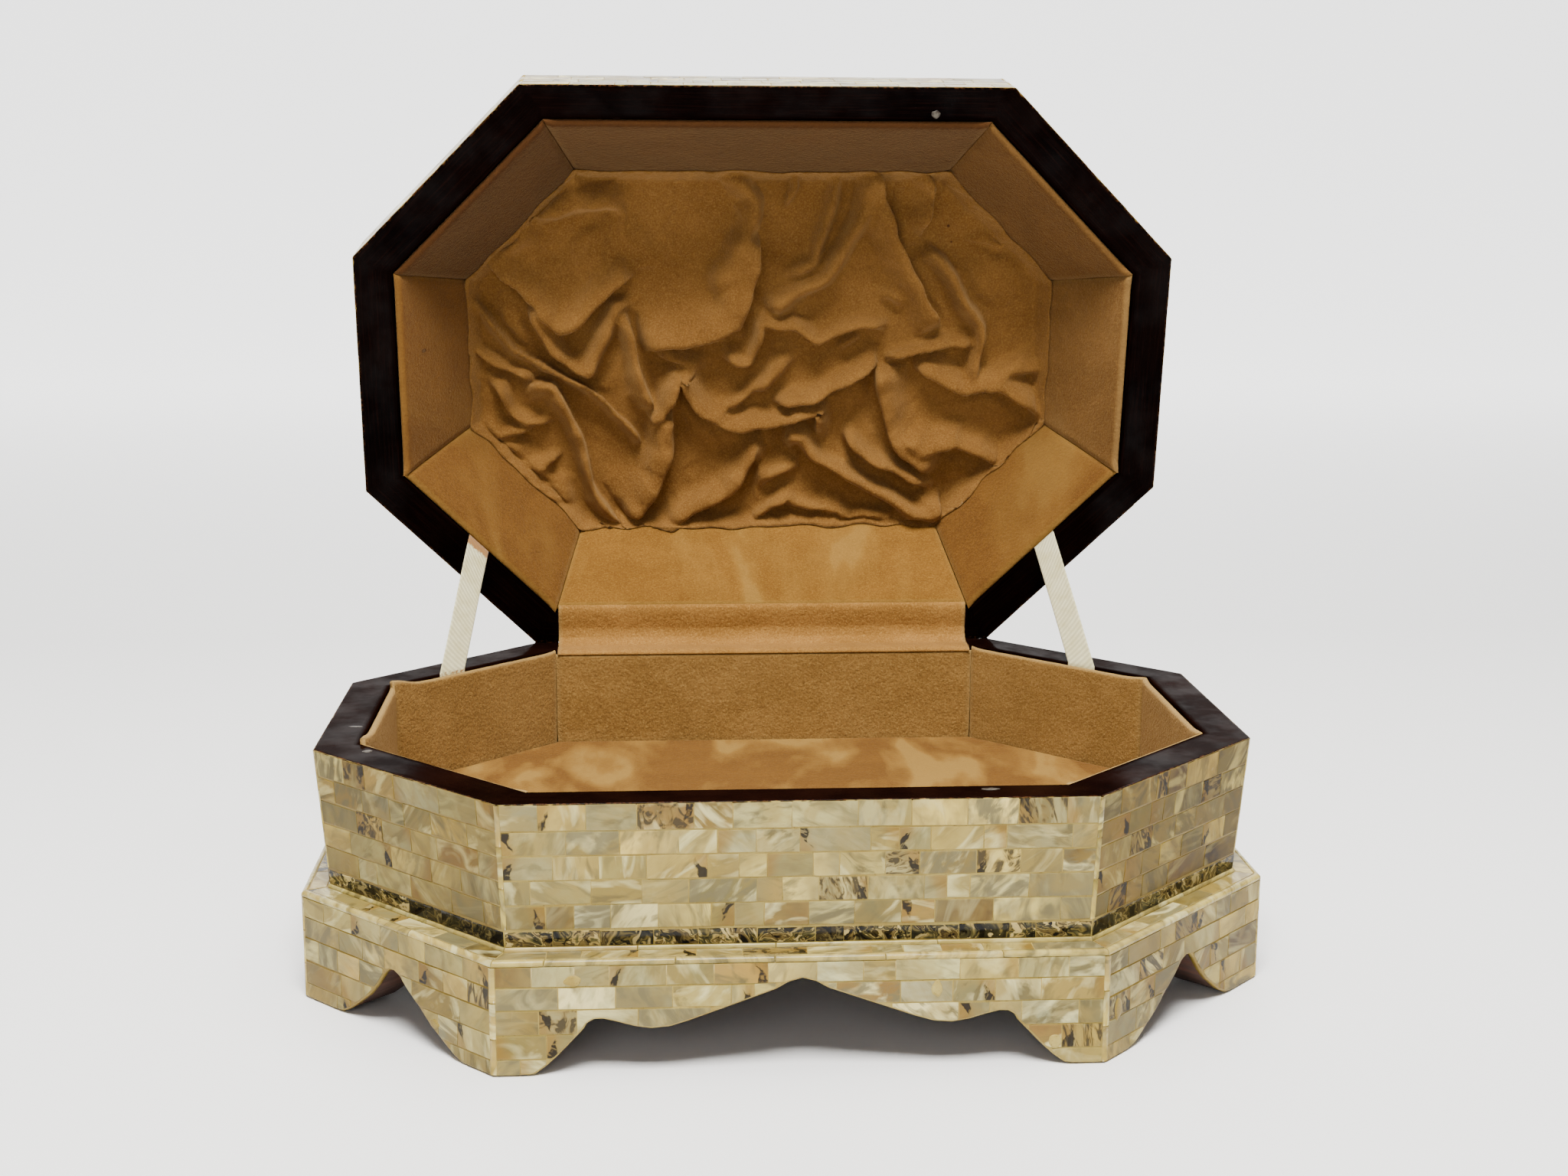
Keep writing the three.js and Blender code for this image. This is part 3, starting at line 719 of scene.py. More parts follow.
def bead(shape, k, rng, mean, path):
    """Thin cream strips along an edge of face k: path gives the inset and height of each line across it."""
    lines = [side_line(k, inset, z) for inset, z in path]
    length = (lines[0][1] - lines[0][0]).length
    cuts = cuts_of(0.0, length, rng, mean)
    for a, b in zip(cuts, cuts[1:]):
        values = strip_values(rng, (208, 188, 124))
        rows = []
        for s in (a + 0.12, a + 0.5, (a + b) / 2, b - 0.5, b - 0.12):
            rows.append([shape.point(p.lerp(q, s / length), **values) for p, q in lines])
        shape.grid(rows, 1)
        shape.caps(rows, 1, True)


def corner_post(shape, k, i0, z0, i1, z1, r, rng, step):
    """A thin rounded strip up the corner at the start of face k."""
    n = max(1, round((z1 - z0) / step))
    for j in range(n):
        values = strip_values(rng, (202, 180, 116))
        rows = []
        for t in (j / n + 0.006, (j + 1) / n - 0.006):
            inset, z = i0 + (i1 - i0) * t, z0 + (z1 - z0) * t
            (before, c), (_, after) = side_line(k - 1, inset), side_line(k, inset)
            d0, d1 = (before - c).normalized(), (after - c).normalized()
            inward = (d0 + d1).normalized()
            ring = [c + d0 * r, c + d0 * r * 0.45 + inward * 0.06, c + inward * 0.16,
                    c + d1 * r * 0.45 + inward * 0.06, c + d1 * r,
                    c + d1 * r * 0.9 + inward * 1.0, c + d0 * r * 0.9 + inward * 1.0]
            rows.append([shape.point((q.x, q.y, z), **values) for q in ring])
        shape.grid(rows, 1, closed_u=True)
        shape.caps(rows, 1, True)


# Scalloped edge, as in the CAD.
LONG = [(0, 37.1), (0.045, 35.6), (0.085, 32.9), (0.21, 27.6), (0.37, 20.9), (0.43, 18.8), (0.49, 18.2), (0.545, 19.2),
        (0.6, 21.1), (0.645, 22.4), (0.675, 22.3), (0.7, 20.6), (0.712, 18.1), (0.745, 14), (0.79, 8.4), (0.83, 4),
        (0.866, 0.9), (0.892, 0), (1, 0)]
CORNER = [(0, 0), (0.145, 0), (0.19, 1.6), (0.232, 4.4), (0.31, 10.2), (0.37, 16), (0.425, 20.8), (0.468, 25.4),
          (0.5, 27), (0.527, 26.6), (0.553, 23.8), (0.592, 18), (0.643, 12), (0.695, 7.5), (0.746, 3.2), (0.79, 0.6),
          (0.815, 0), (1, 0)]
# CORNER runs from the front or the back to the left or right side. These two faces run the other way.
TURNED_FACES = (3, 7)


def scallop(k, t):
    """Height of the cut edge of face k at share t of its length."""
    if k % 2 == 0:
        return float(np.interp(abs(2 * t - 1), *zip(*LONG)))
    return float(np.interp(1 - t if k in TURNED_FACES else t, *zip(*CORNER)))


# Old repairs in cream resin on the apron: side, place along and up it, size across and up, seed.
REPAIRS = [(0, 30.5, 38.0, 3.6, 2.4, 1.0), (0, 214.0, 9.5, 3.0, 3.0, 2.0), (1, 8.0, 20.0, 2.6, 5.0, 3.0),
           (0, 168.0, 32.0, 2.2, 3.6, 4.0), (7, 84.0, 12.0, 2.8, 2.0, 5.0), (4, 60.0, 30.0, 3.2, 2.2, 6.0)]
# Section of the apron's skin where it rounds into the cut edge: inset, and height over that edge.
APRON = [(SHELL, 0), (1.1, 0), (0.55, 0.15), (0.3, 0.6), (JOINT_DEPTH, 1.3)]
APRON_TOP = PLINTH - 2.4
# The rounded upper edge of the apron and the moulding at the inner edge of the ledge.
APRON_BEAD = [(1.0, -2.1), (0, -2.1), (0.18, -1.0), (0.7, -0.35), (1.5, -0.02), (2.4, 0), (2.4, -1.0)]
LEDGE_BEAD = [(0.6, -0.6), (-0.8, -0.6), (-0.8, 0.1), (-0.45, 0.9), (0.1, 1.35), (0.6, 1.4)]


def make_plinth():
    rng = random.Random(11)
    s = Shape()
    out = PLINTH_OUT
    rows = []
    for k in range(8):
        a, b = side_line(k, out)
        length = (b - a).length
        breaks = [x for x, _ in CORNER] if k % 2 else [0.5 + way * x / 2 for way in (-1, 1) for x, _ in LONG]
        if k in TURNED_FACES:
            breaks = [1 - x for x in breaks]
        for t in sorted({round(x, 5) for x in [*np.linspace(0, 1, int(length / 2.2)), *breaks]})[:-1]:
            foot = max(0.5, scallop(k, t))
            section = [(inset, foot + up) for inset, up in APRON] + [(JOINT_DEPTH, APRON_TOP), (SHELL, APRON_TOP)]
            row = []
            for inset, z in section:
                p, q = side_line(k, out + inset)
                c = p.lerp(q, t)
                row.append(s.point((c.x, c.y, z)))
            rows.append(row)
    s.grid(rows, closed_u=True, closed_v=True)
    for k in range(8):
        f = wall(k, out, 0, out, PLINTH)

        def cut(u):
            return scallop(k, u / f.width) + 0.75

        # the apron takes half the painted shade of its side
        tile_rows(s, f, [0.55, 6.8, 16.6, 26.4, 35.4, 43.9], rng, under=cut, side=1.5, aged=SHADE_AND_DULL[k] * 0.5)
        bead(s, k, rng, 38, [(out + inset, PLINTH + up) for inset, up in APRON_BEAD])
        corner_post(s, k, out, 0.6, out, PLINTH - 2.3, 1.4, rng, 15)
        for side, u0, v0, rx, ry, seed in REPAIRS:
            if side == k:
                add_blob(s, lambda u, v, h, f=f, u0=u0, v0=v0: f.at(u0 + u, v0 + v, 0.05 + h), rx, ry, 0.35, seed, 2)
    s.make("plinth_apron_tiles", on_box, "box", [RESIN, PEARL, MEND], replaces=["plinth_apron_shell"])

    s = Shape()
    rng = random.Random(12)
    top, low, inner = PLINTH - JOINT_DEPTH, PLINTH - 2.0, TAPER + 3.2
    skin(s, [(out + 1.2, low), (out + 1.2, top), (inner, top), (inner, low)])
    for k in range(8):
        f = wall(k, out + 2.55, PLINTH, TAPER - 0.9, PLINTH)
        tile_rows(s, f, [0, f.height], rng, 21.0, side=0.3)
        bead(s, k, rng, 44, [(TAPER + inset, PLINTH + up) for inset, up in LEDGE_BEAD])
    s.make("plinth_ledge_tiles", on_box, "box", [RESIN, PEARL], replaces=["plinth_ledge_shell"])


def taper(z):
    return TAPER * (RIM - z) / (RIM - FOOT_Z)


def make_walls():
    rng = random.Random(21)
    s = Shape()
    z0, top = FOOT_Z + BAND + 0.1, RIM - 0.2
    skin(s, [(taper(z0) + JOINT_DEPTH, z0), (JOINT_DEPTH, top), (SHELL, top), (taper(z0) + SHELL, z0)])
    for k in range(8):
        f = wall(k, taper(z0), z0, 0, RIM)
        tile_rows(s, f, [0.25, 10.2, 20.2, 30.1, 40.0, f.height - 0.15], rng, side=1.2, aged=SHADE_AND_DULL[k])
        corner_post(s, k, taper(z0), z0 + 0.2, 0, RIM - 0.25, 1.15, rng, 17)
    s.make("box_wall_tiles", on_box, "box", [RESIN, PEARL], replaces=["box_shell"])

    s = Shape()
    rng = random.Random(22)
    z0, z1 = FOOT_Z, FOOT_Z + BAND
    i0, i1 = taper(z0), taper(z1)
    skin(s, [(i0 + JOINT_DEPTH, z0), (i1 + JOINT_DEPTH, z1 + 0.1), (i1 + SHELL, z1 + 0.1), (i0 + SHELL, z0)])
    for k in range(8):
        f = wall(k, i0, z0, i1, z1)
        tile_rows(s, f, [1.0, f.height - 0.15], rng, 17.0, side=0.5)
    s.make("box_band_tiles", on_box, "box", [RESIN, ABALONE], replaces=["box_band"])


def make_lid_shell():
    rng = random.Random(31)
    s = Shape()
    low, shoulder, top = LID + 0.3, LID + SKIRT, LID + LID_TOP
    skin(s, [(SHELL, low), (JOINT_DEPTH, low), (JOINT_DEPTH, shoulder), (TOP_INSET, top - JOINT_DEPTH)], closed=False)
    s.face(range(len(s.v) - 8, len(s.v)), 0, True)
    for k in range(8):
        f = wall(k, 0, LID, 0, shoulder)
        tile_rows(s, f, [0.3, 9.8, 19.2, 28.6, 37.2], rng, side=1.2, aged=LID_SHADE_AND_DULL)
        corner_post(s, k, 0, low, 0, shoulder - 0.9, 1.15, rng, 19)
        f = wall(k, 0, shoulder, TOP_INSET, top)
        h = f.height
        tile_rows(s, f, [1.0, h * 0.27, h * 0.51, h * 0.76, h - 0.7], rng, aged=LID_SHADE_AND_DULL)
    # the flat top in three parts, from front to back
    p = [(x, y, top) for x, y in octa(TOP_INSET)]
    edges = [(p[0], p[1]), (p[7], p[2]), (p[6], p[3]), (p[5], p[4])]
    for i, count in enumerate((6, 9, 6)):
        f = Face(*edges[i], *edges[i + 1])
        rows = list(np.linspace(0.7 if i == 0 else 0, f.height - (0.7 if i == 2 else 0), count + 1))
        tile_rows(s, f, rows, rng, aged=LID_SHADE_AND_DULL)
    s.make("lid_shell_tiles", on_lid, "lid", [RESIN, PEARL], replaces=["lid_shell"])


# ---- varnished rims ----


def add_blob(s, at, rx, ry, height, seed, m):
    """A small uneven patch of filler: at(u, v, h) places it."""
    n = 18
    rows = []
    for share, h in ((1.0, -0.3), (0.93, 0.0), (0.8, height * 0.8), (0.5, height)):
        row = []
        for i in range(n):
            a = 2 * math.pi * i / n
            r = share * (1 + 0.28 * noise.noise((math.cos(a) * 1.3 + seed, math.sin(a) * 1.3, seed * 1.7)))
            row.append(s.point(at(rx * r * math.cos(a), ry * r * math.sin(a), h), along=(rx * share, a * 3, 0)))
        rows.append(row)
    s.grid(rows, m, closed_u=True)
    top = s.point(at(0, 0, height * 1.05), along=(0, 0, 0))
    low = s.point(at(0, 0, -0.3), along=(0, 0, 0))
    for i in range(n):
        s.face((rows[-1][i], rows[-1][(i + 1) % n], top), m)
        s.face((rows[0][(i + 1) % n], rows[0][i], low), m)


# Section of the varnish, from its inner edge to its outer one: inset, height over the rim, and wear.
RIM_SECTION = [
    (WALL + 0.12, -4.0, -1.0), (WALL + 0.12, -1.0, -1.0), (WALL + 0.11, -0.2, -1.0), (WALL + 0.02, 0.03, -1.0),
    (WALL - 0.5, 0.06, -1.0), (WALL - 1.2, 0.06, -0.6), *((x, 0.06, 0.0) for x in np.linspace(WALL - 2.4, 3.0, 8)),
    (2.0, 0.06, 0.0), (1.2, 0.06, 0.1), (0.75, 0.03, 0.4), (0.42, -0.05, 0.9), (0.22, -0.25, 1.0), (0.2, -0.7, 1.0),
]


def make_rim(name, place, body, z, up, seed, overhang, mats, marks):
    """The varnish over the top of a rim, z its height and up 1 for the box and -1 for the lid."""
    rng = random.Random(seed)
    s = Shape()
    for k in range(8):
        start, end = side_line(k, 0)
        count = 3 if k == BACK else int((end - start).length / 2.0)
        # at the back the two stretches beside the strip over the hinge
        for part in (1, -1) if k == BACK else (0,):
            rows = []
            for j in range(count + 1):
                row = []
                nick = max(0.0, rng.gauss(-0.4, 0.5)) * 0.5
                for inset, h, edge in RIM_SECTION:
                    if k == BACK and inset < 0.5:  # square where the rims meet, and run over the wood's edge
                        inset, h = inset * 0.3 - overhang, h * 0.4
                    a, b = side_line(k, inset + (nick if edge > 0.5 else 0), 0, ENDS * min(1, max(0, inset / WALL)))
                    if part > 0:
                        b.x = STRIP + STRIP_GAP
                    elif part < 0:
                        a.x = -STRIP - STRIP_GAP
                    q = a.lerp(b, j / count)
                    wave = 0.05 * noise.noise((q.x * 0.05 + seed, q.y * 0.05, inset * 0.8)) if h > 0 else 0
                    along = ((q - start).length + 300 * k, inset, 0)
                    row.append(s.point((q.x, q.y, z + up * (h + wave)), along=along, edge=edge))
                rows.append(row)
            s.grid(rows)
    for x, y, rx, ry, mark_seed in marks:
        add_blob(s, lambda u, v, h, x=x, y=y: (x + u, y + v, z + up * (0.1 + h)), rx, ry, 0.12, mark_seed, 1)
    s.make(name, place, body, mats, weld=0.02)


# ---- suede ----

# How far the heads of the lining stand up at the start and the end of each card, with the width of each.
EARS = {
    "box": {
        "left": ((0, 4), (3.4, 14)), "back_left": ((0.6, 4), (3.2, 10)), "right": ((1.2, 8), (0.8, 5)),
        "back_right": ((0.9, 6), (0.6, 4)), "front_left": ((0.4, 4), (0.9, 6)), "front_right": ((0.8, 5), (0.3, 4)),
    },
    "lid": {
        "front": ((1.6, 4), (1.4, 4)), "front_right": ((0.3, 4), (1.5, 5)), "right": ((1.2, 5), (1.8, 4)),
        "back_right": ((0.5, 4), (1.4, 4)), "back_left": ((1.5, 4), (0.4, 3)), "left": ((1.7, 4), (0.9, 6)),
        "front_left": ((0.6, 4), (0.5, 3)),
    },
}
NO_EARS = ((0, 4), (0, 4))
# Each card of the lid takes a copy of the suede in its own tone, painted shade: darkest on the cards that face down,
# lightest on the back card, which faces up to the light.
LID_SUEDE = {
    "front": DEEPLY_SHADED, "front_left": DEEPLY_SHADED, "front_right": SHADED, "left": OTHER_SIDE, "right": SIDE,
    "back": LOWER, "back_left": HALF_SHADED, "back_right": HALF_SHADED,
}


def make_card(body, k, foot, head, nv):
    """A suede-covered card on face k, from its foot (outer inset, inner inset, z) to its rolled head."""
    side = SIDES[k]
    name, node = f"{body}_suede_{side}", f"{body}_lining_{side}"
    mat = LID_SUEDE[side] if body == "lid" else SUEDE
    place, up, seed = (on_box, 1, 40 + k) if body == "box" else (on_lid, -1, 60 + k)
    roll, steps, nu = 1.3, 7, 46
    (fo, fi, fz), (ho, hi, hz) = foot, head
    slope = Vector((hi - fi, hz - fz))
    out = Vector((slope.y, -slope.x)).normalized()
    if out.x < 0:
        out = -out
    flat = 1.0 - roll / slope.length
    us = 0.5 - 0.5 * np.cos(np.linspace(0, math.pi, nu))
    us = np.unique(np.concatenate([us, np.linspace(0.02, 0.98, nu // 2)]))
    # inset, height, how much it bulges, how much painted highlight it takes, and how far up the card
    profile = [(fi + (hi - fi) * v, fz + (hz - fz) * v, 1.0, 0.0, v) for v in np.linspace(0.0, flat, nv)]
    i0, z0 = profile[-1][:2]
    # the rolled head turns from the front face round to the back
    for j in range(1, steps + 1):
        a = math.pi * j / steps
        inset = i0 + (hi - i0) * math.sin(a) + (ho - hi) * (1 - math.cos(a)) / 2
        profile.append((inset, z0 + (hz - z0) * math.sin(a), max(0.0, math.cos(a / 2)), math.sin(a), 1.0))
    profile += [((fo + ho) / 2, (fz + hz) / 2, 0.0, 0.0, 0.5), (fo, fz, 0.0, 0.0, 0.0)]
    s = Shape()
    rows = []
    first, last = EARS[body].get(side, NO_EARS)
    for inset, z, puff, pale, v in profile:
        a, b = side_line(k, inset, z, ENDS)
        length = (b - a).length
        along = (b - a).normalized()
        push = Vector((-along.y, along.x, 0)) * out.x + Vector((0, 0, out.y))
        row = []
        for u in us:
            q = a.lerp(b, float(u))
            near = math.exp(-((min(u, 1 - u) * length / 1.6) ** 2))
            bulge = 0.22 * noise.noise((q.x * 0.03 + seed, q.y * 0.03, q.z * 0.05))
            bulge += 0.10 * noise.noise((q.x * 0.11, q.y * 0.11 + seed, q.z * 0.13))
            bulge -= 0.75 * near
            q = q + push * bulge * puff
            for (ear, width), far in ((first, u * length), (last, (1 - u) * length)):
                q.z += (ear * math.exp(-((far / width) ** 2)) * v**6) * up
            if pale > 0:
                q.z += 0.12 * noise.noise((q.x * 0.2, q.y * 0.2, seed)) * up
            row.append(s.point(q, pale=min(1.0, pale * 0.9 + 0.35 * near * puff)))
        rows.append(row)
    s.grid(rows, closed_v=True)
    s.caps(list(zip(*rows)))
    ob = s.make(name, place, body, [mat], recalc=True, replaces=[node])
    return ob


def make_lining():
    for k, side in enumerate(SIDES):
        top = RIM - (BACK_GAP if k == BACK else HEAD_GAP)
        foot = FLOOR + 0.4
        ob = make_card("box", k, (CARD_OUT + 0.05, CARD_IN, foot), (WALL + 0.2, CARD_IN, top), 22)
        # where an ear stands up over the rim, the share of the card under the rim is reckoned and the card gets a mesh
        # of its own
        ear = max(up for up, _ in EARS["box"].get(side, NO_EARS))
        if ear > 0.5:
            keep = (top - 0.4 - foot) / (top + ear - foot)
            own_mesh(ob)
    s = Shape()
    top = FLOOR + 0.3 + 3.4
    rows = []
    steps = [(0.0, -3.3), (0.0, -2.4), (0.15, -1.5), (0.5, -0.8), (1.1, -0.35), (2.0, -0.12), (3.5, 0), (6, 0)]
    for inset, dz in steps + [(x, 0) for x in np.arange(9, 99, 3.0)]:
        row = []
        for k in range(8):
            a, b = side_line(k, CARD_IN + 0.35 + inset, 0, ENDS)
            for j in range(16):
                q = a.lerp(b, j / 16)
                wave = 0.25 * noise.noise((q.x * 0.025, q.y * 0.025, 3.3)) if dz > -1 else 0
                # the rounded edge of the floor takes a painted highlight
                row.append(s.point((q.x, q.y, top + dz + wave - 0.15), pale=0.3 if -2 < dz < -0.2 else 0.0))
        rows.append(row)
    s.grid(rows, closed_u=True)
    s.caps(rows[::-1])
    ob = s.make("box_suede_floor", on_box, "box", [NAP_SHEEN_SUEDE], recalc=True, replaces=["box_floor_pad"])


def make_lid_lining():
    run, rise = COFFER - CARD_IN, COFFER_T - HEAD_GAP
    card_run = CARD * math.hypot(run, rise) / rise
    opening = CARD_OUT + card_run
    for k in range(8):
        t = BACK_GAP if k == BACK else HEAD_GAP
        start = opening + (COFFER - opening) * (t - HEAD_GAP) / rise
        foot = (COFFER - card_run, COFFER, LID + COFFER_T)
        make_card("lid", k, foot, (start - card_run - 0.7, start, LID + t), 26)


# Folds of the gathered panel on the closed lid: height, width of the gentle side (left of the way the points go, with
# the hinge side below), width of the steep side, lean towards the steep side, and the points x,y along the fold.
FOLD_ROWS = """
5 14 6 0.2 : -106,-68 -91,-72 -75,-73 -65,-70
6.5 22 6 0.35 : -60,-4 -49,-5.5 -39,-8 -26,-12 -14,-16 -8,-29 -5,-45 -3,-60
4.5 12 8 0.1 : -25,-28 -14,-47 -6,-63 -4,-74 -14,-88
6 12 5 0.3 : -112,-26 -106,-21 -98,-15 -88,-21 -75,-33 -63,-42
4 14 2.5 0.5 : -133,-45 -124,-37 -113,-27 -103,-20
5 9 5 0.2 : -114,-25 -108,-15 -101,-2 -92,5 -86,7 -81,-1 -76,-8 -70,-21 -63,-24
6 8 3.5 0.4 : -55,32 -56,28 -59,18 -62,5 -65,-9 -68,-22
4 8 3 0.3 : -54,1 -41,3 -31,5 -26,9
7 9 3.5 0.5 : -60,29 -51,31 -46,22 -41,12 -36,11 -33,18 -26,27 -15,34 7,36
6 18 5 0.3 : -72,82 -62,80 -52,64 -47,48 -45,26
5 8 3.5 0.4 : -65,95 -71,93 -78,82 -86,66 -92,49 -98,32 -105,19 -120,18
5 12 5 0.2 : -65,95 -44,87 -31,80 -16,71 -3,53 3,57
5 4.5 2.5 0.5 : -61,49 -70,35 -81,24 -95,15 -113,5 -124,-2 -133,-14 -141,-26
4 6 3 0.3 : -141,-2 -130,6 -118,12 -110,17
4 6 3 0.3 : -138,14 -130,19 -124,30 -118,35 -110,36 -103,33
4 6 3 0.3 : -131,41 -120,39 -111,37
4 4 4 0.2 : -113,61 -108,55 -102,50
5 5 5 0.2 : -19,-3 -11,3 -6,3 -3,-6 0,-15 6,-16
3.5 6 4 0.2 : -23,30 -13,25 -3,17 6,12
5.5 14 2.5 0.6 : 88,-11 82,-21 73,-38 64,-56 57,-73 53,-89
5 8 8 0.1 : 2,-23 13,-27 31,-39 41,-51 49,-70 52,-87
3.5 6 5 0.1 : 10,-36 25,-46 31,-62 35,-78 36,-88
3 4 5 0.2 : 9,-69 11,-76 15,-82 16,-88
4 9 3 0.4 : 77,-56 79,-60 81,-71 82,-82 78,-90
5 8 5 0.2 : 105,16 108,6 110,-7 109,-14 101,-25 95,-38 88,-48 80,-54
5 7 3 0.4 : 61,4 75,0 87,-5 98,-6 109,-5
6 8 3 0.5 : 6,23 25,23 36,16 49,11 60,5
5 16 4 0.4 : 60,5 61,18 66,35 74,50 85,58 90,63
6 12 4 0.4 : 76,5 90,11 103,17 113,14 121,16 134,25 146,35
3 10 4 0.2 : 113,14 126,9 147,10
5 12 5 0.3 : 74,37 83,49 99,46 112,50 124,58
5 6 8 0.1 : 14,51 19,43 23,44 31,54 46,63 62,71 78,81 88,87
5 6 4 0.3 : 43,39 50,47 61,56 77,64 91,70
5 16 3 0.3 : 89,90 90,81 91,70
6 7 3 0.5 : -5,34 7,34 20,31 30,30 31,36 29,46
3 8 5 0.1 : -5,70 10,63 23,60
3.5 5 5 0.1 : -1,86 6,81 14,79 25,81 47,86 86,89
5 6 5 0.2 : -5,0 -3,-6 0,-14 4,-17 17,-15 28,-8 38,-12 50,-15 64,-15
3 4 4 0.1 : 36,-1 44,-5 52,-9
3 4 4 0.1 : 55,-26 63,-29 69,-25 73,-21
4 7 6 0.1 : -5,21 2,16 11,5 17,-1
3 10 3 0.3 : -93,-83 -112,-63 -131,-45
3 10 3 0.3 : -136,38 -130,42 -113,62 -104,74 -93,87
"""
FOLDS = []
for row in FOLD_ROWS.strip().splitlines():
    sizes, points = row.split(":")
    FOLDS.append((*map(float, sizes.split()), [tuple(map(float, p.split(","))) for p in points.split()]))


# A fold with an end past these (x, y, and both added up) runs on to the border, so it doesn't fade out there.
BORDER_X, BORDER_Y, BORDER_XY = 140, 84, 168


def smooth(x):
    return x * x * (3 - 2 * x)


def fold_field(x, y):
    """How far the folds stand out at the points x, y, how far they lean, and how deep their creases go."""
    power, creases, lean_x, lean_y = (np.zeros_like(x) for _ in range(4))
    for height, gentle, steep, lean, line in FOLDS:
        near = np.full(x.shape, 1e9)
        away_x, away_y, along = (np.zeros_like(x) for _ in range(3))
        steep_side = np.zeros(x.shape, bool)
        run = 0.0
        for (x0, y0), (x1, y1) in zip(line, line[1:]):
            dx, dy = x1 - x0, y1 - y0
            length = math.hypot(dx, dy)
            t = np.clip(((x - x0) * dx + (y - y0) * dy) / length**2, 0, 1)
            ex, ey = x - x0 - t * dx, y - y0 - t * dy
            d = np.hypot(ex, ey)
            closer = d < near
            near = np.where(closer, d, near)
            steep_side = np.where(closer, dx * ey - dy * ex > 0, steep_side)
            away_x = np.where(closer, -dy / length, away_x)
            away_y = np.where(closer, dx / length, away_y)
            along = np.where(closer, run + t * length, along)
            run += length
        fade = np.minimum(10, run * 0.45)
        share = np.ones_like(x)
        for (px, py), far in ((line[0], along), (line[-1], run - along)):
            if abs(px) <= BORDER_X and abs(py) <= BORDER_Y and abs(px) + abs(py) <= BORDER_XY:
                share = share * np.clip(far / fade, 0, 1)
        share = smooth(share)
        q = near / np.where(steep_side, steep, gentle)
        wave = 1 + 0.12 * np.sin(along * 0.35 + height)
        rise = 2.1 * height * share * wave * np.where(q < 1, 0.5 + 0.5 * np.cos(np.pi * np.minimum(q, 1)), 0) ** 1.15
        power += rise**3
        lean_x += away_x * 0.5 * lean * rise**2
        lean_y += away_y * 0.5 * lean * rise**2
        dip = np.where(steep_side, np.exp(-(((near - steep * 1.25) / (steep * 0.55 + 0.6)) ** 2)), 0)
        creases = np.maximum(creases, dip * share * (1.0 + 0.42 * height))
    total = np.cbrt(power)
    return total, lean_x / (total + 0.5), lean_y / (total + 0.5), creases


def settle(x, y, t, frames=16, spare=0.055, cap=6.0):
    """The hide finds its own folds from the traced ones: a short cloth run with its border held and some spare length.
    It runs ten times as large as life, in steps that give the same result each time."""
    scene = bpy.context.scene
    k = 0.01
    start = np.stack([x, y, t], -1).reshape(-1, 3)
    ids = np.arange(x.size).reshape(x.shape)
    quads = np.stack([ids[:-1, :-1], ids[:-1, 1:], ids[1:, 1:], ids[1:, :-1]], -1).reshape(-1, 4)
    me = bpy.data.meshes.new("settling")
    me.from_pydata((start * k).tolist(), [], quads.tolist())
    ob = bpy.data.objects.new("settling", me)
    scene.collection.objects.link(ob)
    border = np.unique(np.concatenate([ids[0], ids[-1], ids[:, 0], ids[:, -1]]))
    ob.vertex_groups.new(name="pins").add(border.tolist(), 1.0, "REPLACE")
    m = ob.modifiers.new("cloth", "CLOTH")
    c = m.settings
    c.vertex_group_mass = "pins"
    c.quality = 5
    c.mass = 0.4
    c.tension_stiffness, c.compression_stiffness, c.shear_stiffness, c.bending_stiffness = 20, 20, 8, 3
    c.tension_damping = c.compression_damping = c.shear_damping = 8
    c.bending_damping = 1
    c.air_damping = 3
    c.shrink_min = -spare
    c.effector_weights.gravity = 0
    m.collision_settings.use_collision = False
    m.point_cache.frame_start, m.point_cache.frame_end = 1, frames
    for f in range(1, frames + 1):
        scene.frame_set(f)
    got = ob.evaluated_get(bpy.context.evaluated_depsgraph_get())
    out = np.empty(start.size)
    got.data.vertices.foreach_get("co", out)
    move = out.reshape(-1, 3) / k - start
    far = np.linalg.norm(move, axis=1, keepdims=True)
    move *= np.minimum(1, cap / np.maximum(far, 1e-6))
    bpy.data.objects.remove(ob)
    bpy.data.meshes.remove(me)
    scene.frame_set(1)
    return [(start + move)[:, i].reshape(x.shape) for i in range(3)]


